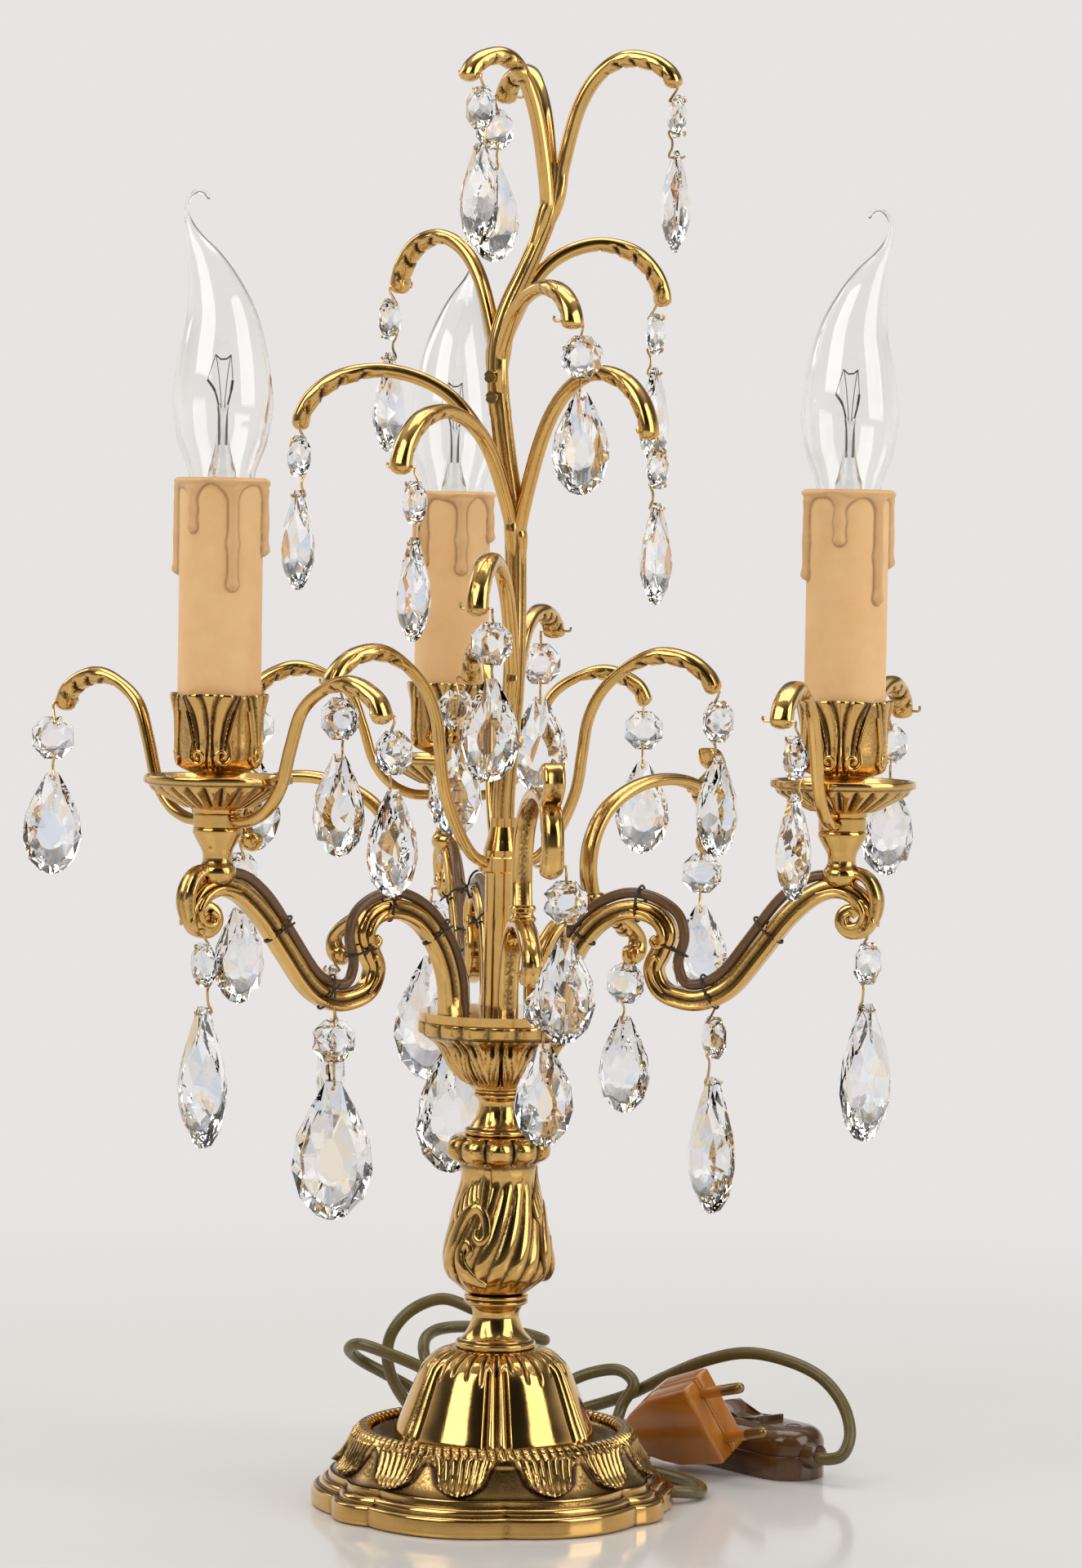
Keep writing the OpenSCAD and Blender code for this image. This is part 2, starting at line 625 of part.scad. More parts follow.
// Trims the arm's foot flat on the deck
module cut_below_deck() {
    translate([-2 * candle_reach, -2 * candle_reach, -20]) cube([4 * candle_reach, 4 * candle_reach, 21]);
}

// The turned vase at the arm's end, with the threaded nipple that carries the candle's pieces
module arm_vase() {
    top = vase_h;
    nipple_h = z_sleeve - z_vase_top + nipple_over;
    rotate_extrude() polygon([
        [0, 0], [4, 0], [6.2, 3], [6.2, 5.6], [4.7, 7.4], [4.7, 10], [6, 13], [8, top - 2], [8, top],
        [nipple_r, top], [nipple_r, top + nipple_h], [0, top + nipple_h]
    ]);
}

module arm_cables() {
    stretch = candle_reach / drawn_reach;
    line = [for (p = cable_line) [p[0] > 30 ? p[0] * stretch : p[0], p[1]]];
    color(cable_brown)
    for (i = [0:2])
        tube(curve(standing(line, candle_angles[i], z_deck), 2), arm_cable_d / 2, 6);
}

// A flat strap that stands along a line over the deck; its corners are the strap's own
module strap(line, angle, share = 1) {
    corner = share / sqrt(2) * 2;
    sweep(curve(standing(line, angle, z_deck), 2), even(strap_w / 2 * corner), even(strap_t / 2 * corner),
        tangent_side(angle), 4);
}

module scroll_brackets() {
    color(brass)
    for (i = [0:2]) {
        a = scroll_angles[i];
        difference() {
            union() {
                strap(low_scroll_line, a);
                strap(high_scroll_line, a);
                strap(scroll_knob_line, a, 0.85);
            }
            hook_hole(polar(a, low_scroll_hook[0], z_deck + low_scroll_hook[1]), a);
            hook_hole(polar(a, high_scroll_hook[0], z_deck + high_scroll_hook[1]), a);
            cut_deck();
        }
    }
}

module cut_deck() {
    translate([-leaf_cup_r, -leaf_cup_r, z_deck - 20]) cube([2 * leaf_cup_r, 2 * leaf_cup_r, 20]);
}

module candle_spiders() {
    middle = z_vase_top + candle_hub_t / 2;
    rod = spider_d / 2;
    color(brass)
    for (i = [0:2])
        difference() {
            union() {
                translate(candle_at(i) + [0, 0, z_vase_top]) ring(candle_hub_r, nipple_bore, candle_hub_t);
                for (a = candle_spider_angles[i])
                    translate(candle_at(i))
                        sweep(curve(standing(candle_line, a, middle), 2), leafed(rod + 0.4, tip_w / 2),
                            leafed(rod, tip_t / 2), tangent_side(a), 6);
            }
            for (k = [0:1]) hook_hole(candle_hook_at(i, k), candle_spider_angles[i][k]);
        }
}

module drip_pans() {
    wall = 2;
    color(brass)
    for (i = [0:2])
        translate(candle_at(i) + [0, 0, z_pan]) difference() {
            rotate_extrude() polygon([
                [0, 0], [8.2, 0], [8.2, 1.6], [12, 4], [pan_r - 4, 8.4], [pan_r, pan_h - 1.6], [pan_r, pan_h],
                [pan_r - wall, pan_h], [pan_r - 6, pan_h - 2.6], [13, pan_floor], [0, pan_floor]
            ]);
            translate([0, 0, -1]) cylinder(r = nipple_bore, h = pan_h);
        }
}

module candle_cups() {
    top_r = sleeve_r + slip + cup_lip;
    color(brass)
    for (i = [0:2])
        translate(candle_at(i) + [0, 0, z_cup]) difference() {
            rotate_extrude() polygon([
                [0, 0], [8.4, 0], [8.4, 2.4], [7.2, 4], [7.2, 6.2], [top_r - 3.8, 7.8], [top_r - 2, 9.6],
                [top_r - 1, 13], [top_r - 0.8, cup_h - 9], [top_r, cup_h - 2], [top_r, cup_h], [0, cup_h]
            ]);
            translate([0, 0, cup_h - cup_recess]) cylinder(r = sleeve_r + slip, h = cup_recess + 1);
            translate([0, 0, -1]) cylinder(r = nipple_bore, h = cup_h);
        }
}

module candle_sleeves() {
    color(wax)
    for (i = [0:2])
        translate(candle_at(i) + [0, 0, z_sleeve]) difference() {
            rotate_extrude() polygon([
                [0, 0], [sleeve_r, 0], [sleeve_r, sleeve_h - 9], [sleeve_r + 1.6, sleeve_h - 6],
                [sleeve_r + 1.9, sleeve_h - 2], [sleeve_r + 0.6, sleeve_h], [0, sleeve_h]
            ]);
            translate([0, 0, -1]) cylinder(r = sleeve_r - sleeve_wall, h = sleeve_h + 2);
        }
}

module lampholders() {
    h = z_socket_top - z_sleeve;
    color(clear_glass)
    for (i = [0:2])
        translate(candle_at(i) + [0, 0, z_sleeve]) difference() {
            rotate_extrude() polygon([
                [0, 0], [9.4, 0], [9.4, 2.4], [7, 3.4], [7, h - 38], [holder_r, h - 34], [holder_r, h], [0, h]
            ]);
            translate([0, 0, -1]) cylinder(r = nipple_bore, h = nipple_over + 3);
            translate([0, 0, h - socket_depth]) cylinder(r = socket_r, h = socket_depth + 1);
        }
}

// Radius and sideways lean of the flame glass at each height over the sleeve
flame_shape = [
    [0, 0.64, 0], [4, 0.68, 0], [13, 0.89, 0], [20, 0.97, 0], [27, 1, 0], [40, 0.91, 0], [52, 0.74, 0.6],
    [63, 0.54, 3.2], [71, 0.41, 5.8], [80, 0.22, 9.6], [86.5, 0.11, 11.6], [90.6, 0.075, 11],
    [91.4, 0.07, 8.4], [89.6, 0.06, 6.6]
];
drawn_bulb_r = 16.2;
flame_scale = bulb_r / drawn_bulb_r;
flame_sides = 12;
inner_rings = 10;

function flame_axis(i) = [flame_shape[i][2] * flame_scale, 0, flame_shape[i][0] * flame_scale];
function flame_ring(i, less) =
    let (axis = [for (k = [0:len(flame_shape) - 1]) flame_axis(k)],
         way = i < 6 ? [0, 0, 1] : heading(axis, i), b = [0, 1, 0], n = cross(b, way),
         r = flame_shape[i][1] * bulb_r - less, step = 360 / flame_sides)
    [for (k = [0:flame_sides - 1]) axis[i] + r * (n * cos(k * step) + b * sin(k * step))];

// A hollow flame of glass, open at its neck
module flame_glass() {
    outer_rings = len(flame_shape);
    n = flame_sides;
    points = concat(
        [for (i = [0:outer_rings - 1]) each flame_ring(i, 0)],
        [for (i = [0:inner_rings - 1]) each flame_ring(i, bulb_wall)]
    );
    start = outer_rings * n;
    outside = [for (i = [0:outer_rings - 2]) for (k = [0:n - 1])
        let (a = i * n + k, b = i * n + (k + 1) % n)
        each [[a, a + n, b], [b, a + n, b + n]]];
    inside = [for (i = [0:inner_rings - 2]) for (k = [0:n - 1])
        let (a = start + i * n + k, b = start + i * n + (k + 1) % n)
        each [[a, b, a + n], [b, b + n, a + n]]];
    neck = [for (k = [0:n - 1]) let (m = (k + 1) % n) each [[k, m, start + k], [m, start + m, start + k]]];
    tip = [[for (k = [n - 1:-1:0]) (outer_rings - 1) * n + k]];
    crown = [[for (k = [0:n - 1]) start + (inner_rings - 1) * n + k]];
    polyhedron(points, concat(outside, inside, neck, tip, crown));
}

// A flame bulb: glass, screw cap, and the glass mount with its filament
module bulb(i) {
    collar_h = 6;
    cap_h = socket_depth - 2 - collar_h / 2;
    mount_r = 3;
    mount_h = 26;
    color(clear_glass)
    translate(candle_at(i) + [0, 0, z_socket_top + glass_lift]) rotate([0, 0, bulb_bends[i]]) {
        flame_glass();
        translate([0, 0, -slip]) mirror([0, 0, 1]) rotate_extrude() polygon([
            [0, 0], [cap_r, 0], [cap_r, cap_h], [3.2, cap_h + 2.4], [0, cap_h + 2.4]
        ]);
        translate([0, 0, -slip]) cylinder(r1 = mount_r + 1.5, r2 = mount_r * 0.5, h = mount_h);
    }
}

// Pipe, nut, washer and the two screws of the tree's lap joint
module fasteners() {
    nut_h = 8;
    nut_r = 8.5;
    washer_t = 1.6;
    washer_r = 11;
    under = base_h - 4.4;
    color(brass_dark) {
        translate([0, 0, pipe_low]) ring(pipe_r, pipe_bore_r, pipe_high - pipe_low);
        translate([0, 0, under - washer_t]) ring(washer_r, column_bore, washer_t);
        translate([0, 0, under - washer_t - nut_h]) difference() {
            cylinder(r = nut_r, h = nut_h, $fn = 6);
            translate([0, 0, -1]) cylinder(r = column_bore, h = nut_h + 2);
        }
        for (h = screw_heights)
            translate(trunk_at(h)) rotate([0, 90, lap_angle]) lap_screw();
    }
}

module lap_screw() {
    head_t = 1.4;
    seat = trunk_r + 0.2;
    slot_w = 0.7;
    slot_d = 0.6;
    difference() {
        union() {
            translate([0, 0, seat]) cylinder(r = screw_head_r, h = head_t);
            translate([0, 0, -trunk_r + 1.2]) cylinder(r = screw_shank_r, h = seat + trunk_r - 1);
        }
        translate([-slot_w / 2, -screw_head_r - 1, seat + head_t - slot_d])
            cube([slot_w, 2 * screw_head_r + 2, slot_d + 1]);
    }
}

// Mains cord, switch and plug

module cord_to_switch() {
    color(cable_brown) tube(cord_in, cord_d / 2);
}

// Least distance left between parts of a cord that lie more than a few steps apart along it
function along(p, steps) = concat(
    [for (i = [0:len(p) - 2]) for (k = [0:steps - 1]) p[i] + (p[i + 1] - p[i]) * k / steps], [p[len(p) - 1]]);
function self_gap(p, skip) = min([for (i = [0:len(p) - 1 - skip]) for (j = [i + skip:len(p) - 1])
    norm(p[i] - p[j])]) - cord_d;

module cord_to_plug() {
    echo(least_gap_of_the_cord_to_itself = self_gap(along(cord_out, 4), 12));
    color(cable_brown) tube(cord_out, cord_d / 2);
}

rocker_l = 24;
rocker_w = 11;
rocker_gap = 0.7;
rocker_pivot_z = switch_h - 4.5;
rocker_pin_r = 1.4;
rocker_tilt = 5;

module switch_shell() {
    end = switch_l / 2;
    half = switch_w / 2;
    quarter = [
        [end, 5.4], [end - 1.6, 7.4], [end - 4.8, half - 3.2], [end - 11, half - 3], [end - 13.4, half]
    ];
    far = [for (i = [len(quarter) - 1:-1:0]) quarter[i]];
    linear_extrude(switch_h) polygon(concat(
        quarter, [for (p = far) [-p[0], p[1]]],
        [for (p = quarter) [-p[0], -p[1]]], [for (p = far) [p[0], -p[1]]]));
}

module switch_housing() {
    well_l = rocker_l + 2 * rocker_gap;
    well_w = rocker_w + 2 * rocker_gap;
    well_d = 9;
    color(switch_brown)
    translate(switch_place) rotate([0, 0, switch_turn]) difference() {
        switch_shell();
        translate([-well_l / 2, -well_w / 2, switch_h - well_d]) cube([well_l, well_w, well_d + 1]);
        translate([0, 0, rocker_pivot_z]) rotate([90, 0, 0])
            cylinder(r = rocker_pin_r + slip, h = well_w + 5, center = true);
    }
}

module switch_rocker() {
    rise = 2.2;
    color(switch_brown)
    translate(switch_place + [0, 0, rocker_pivot_z]) rotate([90, 0, switch_turn]) rotate([0, 0, rocker_tilt]) {
        linear_extrude(rocker_w, center = true) polygon([
            [-rocker_l / 2, 2.8], [-rocker_l / 2, 5.4 + rise], [-rocker_l / 6, 4.6], [rocker_l / 6, 4.6],
            [rocker_l / 2, 5.4 + rise], [rocker_l / 2, 2.8], [3, -1.6], [-3, -1.6]
        ]);
        cylinder(r = rocker_pin_r, h = rocker_w + 3.4, center = true);
    }
}

plug_w = 31;
plug_t = 16;
plug_pin_gap = 18.6;

// Share of the plug's length, and of its half width there
plug_taper = [[0, 0.39], [0.08, 0.55], [0.44, 0.9], [1, 1]];

module plug() {
    color(amber)
    translate(plug_place) rotate(plug_turn) {
        translate([-plug_l / 2, -plug_t / 2, 0]) rotate([-90, 0, 0]) linear_extrude(plug_t) polygon(concat(
            [for (p = plug_taper) [p[0] * plug_l, -p[1] * plug_w / 2]],
            [for (i = [len(plug_taper) - 1:-1:0]) [plug_taper[i][0] * plug_l, plug_taper[i][1] * plug_w / 2]]));
        for (s = [-1, 1])
            translate([plug_l / 2 - 1, 0, s * plug_pin_gap / 2]) rotate([0, 90, 0])
                cylinder(r = plug_pin_r, h = plug_pin_l + 1);
    }
}

// Glass drops

// A bent wire through the given points
module wire(points) {
    for (i = [0:len(points) - 2]) {
        v = points[i + 1] - points[i];
        translate(points[i]) rotate([0, acos(v[2] / norm(v)), atan2(v[1], v[0])])
            cylinder(r = wire_d / 2, h = norm(v));
    }
    for (i = [1:len(points) - 2]) translate(points[i]) sphere(r = wire_d * 0.62);
}

// A flat octagon bead that faces +X, drilled through near its top and bottom
module bead() {
    n = 8;
    rim = bead_d / 2 / cos(180 / n);
    rings = [[bead_t / 2, 0.58], [0.7, 1], [-0.7, 1], [-bead_t / 2, 0.58]];
    points = [for (q = rings) for (k = [0:n - 1])
        let (a = 360 * (k + 0.5) / n) [q[0], q[1] * rim * cos(a), q[1] * rim * sin(a)]];
    skin = [for (i = [0:len(rings) - 2]) for (k = [0:n - 1])
        let (a = i * n + k, b = i * n + (k + 1) % n) [a, b, b + n, a + n]];
    caps = [[for (k = [n - 1:-1:0]) k], [for (k = [0:n - 1]) (len(rings) - 1) * n + k]];
    difference() {
        polyhedron(points, concat(skin, caps));
        for (s = [-1, 1])
            translate([0, 0, s * (bead_d / 2 - bead_hole_in)]) rotate([0, 90, 0])
                cylinder(r = hook_hole_r, h = 2 * bead_t, center = true);
    }
}

// A pear drop that faces +X and hangs down from z = 0, drilled through near its top
pear_shape = [
    [0, 0.18, 0.3], [0.12, 0.36, 0.48], [0.42, 0.84, 0.9], [0.66, 1, 1], [0.86, 0.78, 0.76],
    [0.97, 0.4, 0.4], [1, 0.14, 0.16]
];
module pear(size) {
    n = 8;
    points = [for (q = pear_shape) for (k = [0:n - 1])
        let (a = 360 * k / n)
        size * [q[2] * pear_t / 2 * cos(a), q[1] * pear_w / 2 * sin(a), -q[0] * pear_h]];
    skin = [for (i = [0:len(pear_shape) - 2]) for (k = [0:n - 1])
        let (a = i * n + k, b = i * n + (k + 1) % n)
        each [[a, b, a + n], [b, b + n, a + n]]];
    caps = [[for (k = [n - 1:-1:0]) k], [for (k = [0:n - 1]) (len(pear_shape) - 1) * n + k]];
    difference() {
        polyhedron(points, concat(skin, caps));
        translate([0, 0, -pear_hole_in]) rotate([0, 90, 0])
            cylinder(r = hook_hole_r, h = 2 * pear_t, center = true);
    }
}

module drop(d) {
    angle = d[2];
    facing = d[3];
    size = d[5];
    half = d[4] + hook_over;
    link = size > 1 ? bead_to_pear + 2 : bead_to_pear;
    side = tangent_side(angle);
    face = polar(facing, 1, 0);
    hang = side * half;
    bead_z = -hook_to_bead;
    pear_z = bead_z - link;
    pear_hole = pear_z - pear_hole_in;
    hole_high = bead_z + bead_d / 2 - bead_hole_in;
    hole_low = bead_z - bead_d / 2 + bead_hole_in;
    behind = face * (bead_t / 2 + 0.8);
    pear_behind = face * (pear_t * size * 0.19 + 1.1);
    color(clear_glass)
    translate(d[1]) {
        wire([-side * half, hang, hang + [0, 0, hole_high + 4.2], hang - behind + [0, 0, hole_high],
            hang + behind + [0, 0, hole_high]]);
        translate(hang + [0, 0, bead_z]) rotate([0, 0, facing]) bead();
        wire([hang + behind + [0, 0, hole_low], hang - behind + [0, 0, hole_low],
            hang - pear_behind + [0, 0, pear_hole], hang + pear_behind + [0, 0, pear_hole]]);
        translate(hang + [0, 0, pear_z]) rotate([0, 0, facing]) pear(size);
    }
}

base_casting();
base_pad();
column_spools();
baluster();
leaf_cup();
arm_plate();
centre_tube();
centre_spider();
tree_ferrule();
tree_lower();
tree_upper();
candle_arms();
arm_cables();
scroll_brackets();
candle_spiders();
drip_pans();
candle_cups();
candle_sleeves();
lampholders();
fasteners();
cord_to_switch();
cord_to_plug();
switch_housing();
switch_rocker();
plug();
for (i = [0:2]) bulb(i);
for (d = drops) drop(d);
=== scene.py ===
"""Brass girandole table lamp with crystal drops, dressed for the render.

Lengths are in millimetres, apart from those of the stage and its lights, which are in metres.
"""

import json
import math

import bmesh
import bpy
import numpy as np
from mathutils import Matrix, Vector


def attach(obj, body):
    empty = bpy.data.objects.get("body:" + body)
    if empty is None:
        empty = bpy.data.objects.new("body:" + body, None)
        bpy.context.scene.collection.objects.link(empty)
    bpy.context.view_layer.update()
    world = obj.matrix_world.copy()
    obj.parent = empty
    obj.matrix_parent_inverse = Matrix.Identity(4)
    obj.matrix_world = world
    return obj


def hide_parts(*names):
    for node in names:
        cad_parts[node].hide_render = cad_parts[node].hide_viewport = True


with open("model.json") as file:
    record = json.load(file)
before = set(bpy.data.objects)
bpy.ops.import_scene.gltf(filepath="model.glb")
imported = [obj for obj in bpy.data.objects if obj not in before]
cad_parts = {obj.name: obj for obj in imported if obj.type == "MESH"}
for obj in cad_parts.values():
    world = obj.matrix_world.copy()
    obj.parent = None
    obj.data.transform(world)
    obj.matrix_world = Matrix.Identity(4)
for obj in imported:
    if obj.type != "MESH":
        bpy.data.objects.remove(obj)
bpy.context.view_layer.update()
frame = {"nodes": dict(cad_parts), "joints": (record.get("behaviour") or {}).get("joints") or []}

MM = 0.001
LAMP = "lamp"
BOTH_ENDS = (True, True)
UP = np.array([0.0, 0.0, 1.0])


# Small maths

def smooth(x):
    x = np.clip(x, 0.0, 1.0)
    return x * x * (3.0 - 2.0 * x)


def bump_at(x, middle, width):
    return np.exp(-((x - middle) / width) ** 2)


def spline(points, steps):
    """Catmull-Rom points through the given points."""
    p = np.asarray(points, float)
    ext = np.vstack([2 * p[0] - p[1], p, 2 * p[-1] - p[-2]])
    t = (np.arange(steps) / steps)[:, None]
    out = []
    for i in range(1, len(ext) - 2):
        a, b, c, d = ext[i - 1:i + 3]
        out.append(0.5 * (2 * b + (c - a) * t + (2 * a - 5 * b + 4 * c - d) * t ** 2
                          + (3 * b - a - 3 * c + d) * t ** 3))
    return np.vstack(out + [p[-1:]])


def arc_length(path):
    step = np.linalg.norm(np.diff(path, axis=0), axis=1)
    return np.concatenate([[0.0], np.cumsum(step)])


def shares(path):
    """How far along its path each point lies, from 0 to 1."""
    s = arc_length(path)
    return s / s[-1]


def taper(path, at, half):
    """A half width for each point of a path, from widths given at shares of its points."""
    return np.interp(np.linspace(0, 1, len(path)), at, half)


def evenly(path, count):
    """The same line with its points evenly spaced."""
    s = arc_length(path)
    at = np.linspace(0, s[-1], count)
    return np.stack([np.interp(at, s, path[:, k]) for k in range(path.shape[1])], axis=1)


def round_angles(count):
    return np.linspace(0, 2 * math.pi, count, endpoint=False)


def polar(angle, r, z=0.0):
    a = math.radians(angle)
    return np.array([r * math.cos(a), r * math.sin(a), z])


def tangent(angle):
    a = math.radians(angle)
    return np.array([-math.sin(a), math.cos(a), 0.0])


def standing(line, angle, z, origin=(0, 0, 0)):
    """A line of (reach, height) points stood up in the vertical plane at an angle."""
    return np.array([polar(angle, r, z + h) for r, h in line]) + np.asarray(origin)


def stood(line, angle, z, count, origin=(0, 0, 0), steps=8):
    """A smooth line through (reach, height) points, stood up at an angle, its points evenly spaced."""
    return evenly(spline(standing(line, angle, z, origin), steps), count)


def headings(path):
    way = np.gradient(path, axis=0)
    return way / np.linalg.norm(way, axis=1)[:, None]


def placed(name, data):
    """A new object in the scene."""
    obj = bpy.data.objects.new(name, data)
    bpy.context.scene.collection.objects.link(obj)
    return obj


def turn_faces_out(mesh, hollow=()):
    """Makes a mesh's faces look outwards, and those numbered in hollow inwards."""
    bm = bmesh.new()
    bm.from_mesh(mesh)
    bmesh.ops.recalc_face_normals(bm, faces=bm.faces)
    bm.faces.ensure_lookup_table()
    bmesh.ops.reverse_faces(bm, faces=[bm.faces[k] for k in hollow])
    bm.to_mesh(mesh)
    bm.free()


# A piece under construction: points, faces, patina with painted shade, and material numbers

class Piece:
    def __init__(self, name):
        self.name = name
        self.points = []
        self.patina_and_shade = []
        self.faces = []
        self.face_material = []
        self.hollow = []
        self.count = 0

    def add(self, points, faces, patina_and_shade=0.0, material=0):
        points = np.asarray(points, float).reshape(-1, 3)
        self.points.append(points)
        self.patina_and_shade.append(np.broadcast_to(np.asarray(patina_and_shade, float).reshape(-1), len(points)))
        start = self.count
        self.faces.extend([tuple(int(i) + start for i in f) for f in faces])
        self.face_material.extend([material] * len(faces))
        self.count += len(points)

    def grid(self, rows, patina_and_shade=0.0, loop=False, caps=(False, False), material=0, hollow=False):
        """Skin over closed rows of points; loop joins the last row to the first, caps fill the ends.

        hollow is the inner wall of a vessel, which faces into it.
        """
        rows = np.asarray(rows, float)
        m, n, _ = rows.shape
        points = rows.reshape(-1, 3)
        values = np.broadcast_to(np.asarray(patina_and_shade, float), (m, n)).reshape(-1)
        index = np.arange(m * n).reshape(m, n)
        a = index if loop else index[:-1]
        b = np.roll(index, -1, axis=0) if loop else index[1:]
        quads = np.stack([a, np.roll(a, -1, axis=1), np.roll(b, -1, axis=1), b], axis=-1)
        faces = [tuple(q) for q in quads.reshape(-1, 4).tolist()]
        extra, extra_values = [], []
        for use, row in zip(caps, (0, m - 1)):
            if use:
                middle = m * n + len(extra)
                extra.append(rows[row].mean(axis=0))
                extra_values.append(float(values.reshape(m, n)[row].mean()))
                ring = index[row]
                faces.extend([(int(ring[k]), int(ring[(k + 1) % n]), middle) for k in range(n)])
        if extra:
            points = np.vstack([points, extra])
            values = np.concatenate([values, extra_values])
        if hollow:
            self.hollow.extend(range(len(self.faces), len(self.faces) + len(faces)))
        self.add(points, faces, values, material)

    def build(self, materials, body, nodes=(), sharp=38, flat=False):
        mesh = bpy.data.meshes.new(self.name)
        mesh.from_pydata((np.vstack(self.points) * MM).tolist(), [], self.faces)
        for m in materials:
            mesh.materials.append(m)
        mesh.polygons.foreach_set("material_index", np.array(self.face_material, np.int32))
        mesh.polygons.foreach_set("use_smooth", np.full(len(self.faces), not flat))
        turn_faces_out(mesh, self.hollow)
        values = mesh.attributes.new("patina_and_shade", "FLOAT", "POINT")
        values.data.foreach_set("value", np.concatenate(self.patina_and_shade).astype(np.float32))
        if not flat:
            mesh.set_sharp_from_angle(angle=math.radians(sharp))
        obj = placed(self.name, mesh)
        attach(obj, body)
        if nodes:
            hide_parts(*nodes)
        return obj


def revolve(piece, profile, sides, shape=None, origin=(0, 0, 0), caps=(False, False), loop=False,
            material=0, patina_and_shade=None):
    """Turns (r, z) rows round the axis; shape(theta, row share, r, z) gives out, up, and patina with painted
    shade.
    """
    profile = np.asarray(profile, float)
    theta = round_angles(sides)[None, :]
    r = np.repeat(profile[:, :1], sides, axis=1)
    z = np.repeat(profile[:, 1:2], sides, axis=1)
    share = np.repeat(shares(profile[:, :2])[:, None], sides, axis=1)
    dirt_and_shade = np.zeros_like(r)
    if patina_and_shade is not None:
        dirt_and_shade = dirt_and_shade + np.asarray(patina_and_shade, float)[:, None]
    if shape is not None:
        out, up, more = shape(np.broadcast_to(theta, r.shape), share, r, z)
        r, z, dirt_and_shade = r + out, z + up, dirt_and_shade + more
    rows = np.stack([r * np.cos(theta), r * np.sin(theta), z], axis=-1) + np.asarray(origin)
    piece.grid(rows, np.clip(dirt_and_shade, 0, 1), caps=caps, loop=loop, material=material)


def oval(half_w, half_t, sides=24, round_share=0.8):
    phi = round_angles(sides)
    c, s = np.cos(phi), np.sin(phi)
    return np.stack([half_w * np.sign(c) * np.abs(c) ** round_share,
                     half_t * np.sign(s) * np.abs(s) ** round_share], axis=1)


def sweep(piece, path, side, section, caps=BOTH_ENDS, material=0):
    """Carries a section along a path; side is the section's first direction."""
    way = headings(path)
    side = np.broadcast_to(np.asarray(side, float), path.shape)
    side = side - way * np.sum(side * way, axis=1)[:, None]
    side = side / np.linalg.norm(side, axis=1)[:, None]
    over = np.cross(way, side)
    share = shares(path)
    rows, dirt_and_shade = [], []
    for i, u in enumerate(share):
        outline, patina_and_shade = section(u)
        rows.append(path[i] + outline[:, :1] * side[i] + outline[:, 1:] * over[i])
        dirt_and_shade.append(np.broadcast_to(patina_and_shade, len(outline)))
    piece.grid(np.array(rows), np.clip(np.array(dirt_and_shade), 0, 1), caps=caps, material=material)


def carried_sides(path):
    """A first direction that turns as little as it can along any path."""
    way = headings(path)
    start = np.cross(way[0], UP)
    if np.linalg.norm(start) < 0.05:
        start = np.cross(way[0], [0.0, 1.0, 0.0])
    sides = [start / np.linalg.norm(start)]
    for w in way[1:]:
        s = sides[-1] - w * np.dot(sides[-1], w)
        sides.append(s / np.linalg.norm(s))
    return np.array(sides)


def tube(piece, path, radius, sides=10, material=0, patina_and_shade=0.0):
    path = np.asarray(path, float)
    half = np.broadcast_to(np.asarray(radius, float), len(path))
    unit = oval(1.0, 1.0, sides, 1.0)
    share = shares(path)
    sweep(piece, path, carried_sides(path),
          lambda u: (unit * np.interp(u, share, half), patina_and_shade), material=material)


# Camera: in front of the lamp, level with the candles and tipped a little down

SENSOR_H, LENS = 36.0, 106.9
CAMERA_PLACE = (12.6, -1583.0, 319.4)
CAMERA_DOWN, CAMERA_ROLL = 2.61, 0.9


def make_camera():
    data = bpy.data.cameras.new("camera")
    data.sensor_fit = "VERTICAL"
    data.sensor_height = SENSOR_H
    data.lens = LENS
    camera = placed("camera", data)
    camera.matrix_world = (
        Matrix.Translation([v * MM for v in CAMERA_PLACE])
        @ Matrix.Rotation(math.radians(90 - CAMERA_DOWN), 4, "X")
        @ Matrix.Rotation(math.radians(CAMERA_ROLL), 4, "Z"))
    bpy.context.scene.camera = camera


make_camera()


# Materials

def feed(tree, socket, value):
    """Links another node's output to a socket, or sets the socket's own value."""
    if isinstance(value, bpy.types.NodeSocket):
        tree.links.new(value, socket)
    else:
        socket.default_value = value


def new_node(tree, kind, inputs=None, **settings):
    """A node with its settings made and its inputs fed, by name or by number."""
    node = tree.nodes.new("ShaderNode" + kind)
    for key, value in settings.items():
        setattr(node, key, value)
    for key, value in (inputs or {}).items():
        feed(tree, node.inputs[key], value)
    return node


def set_ramp(node, stops):
    elements = node.color_ramp.elements
    while len(elements) < len(stops):
        elements.new(0.5)
    for element, (at, colour) in zip(elements, stops):
        element.position = at
        element.color = (*colour, 1.0)


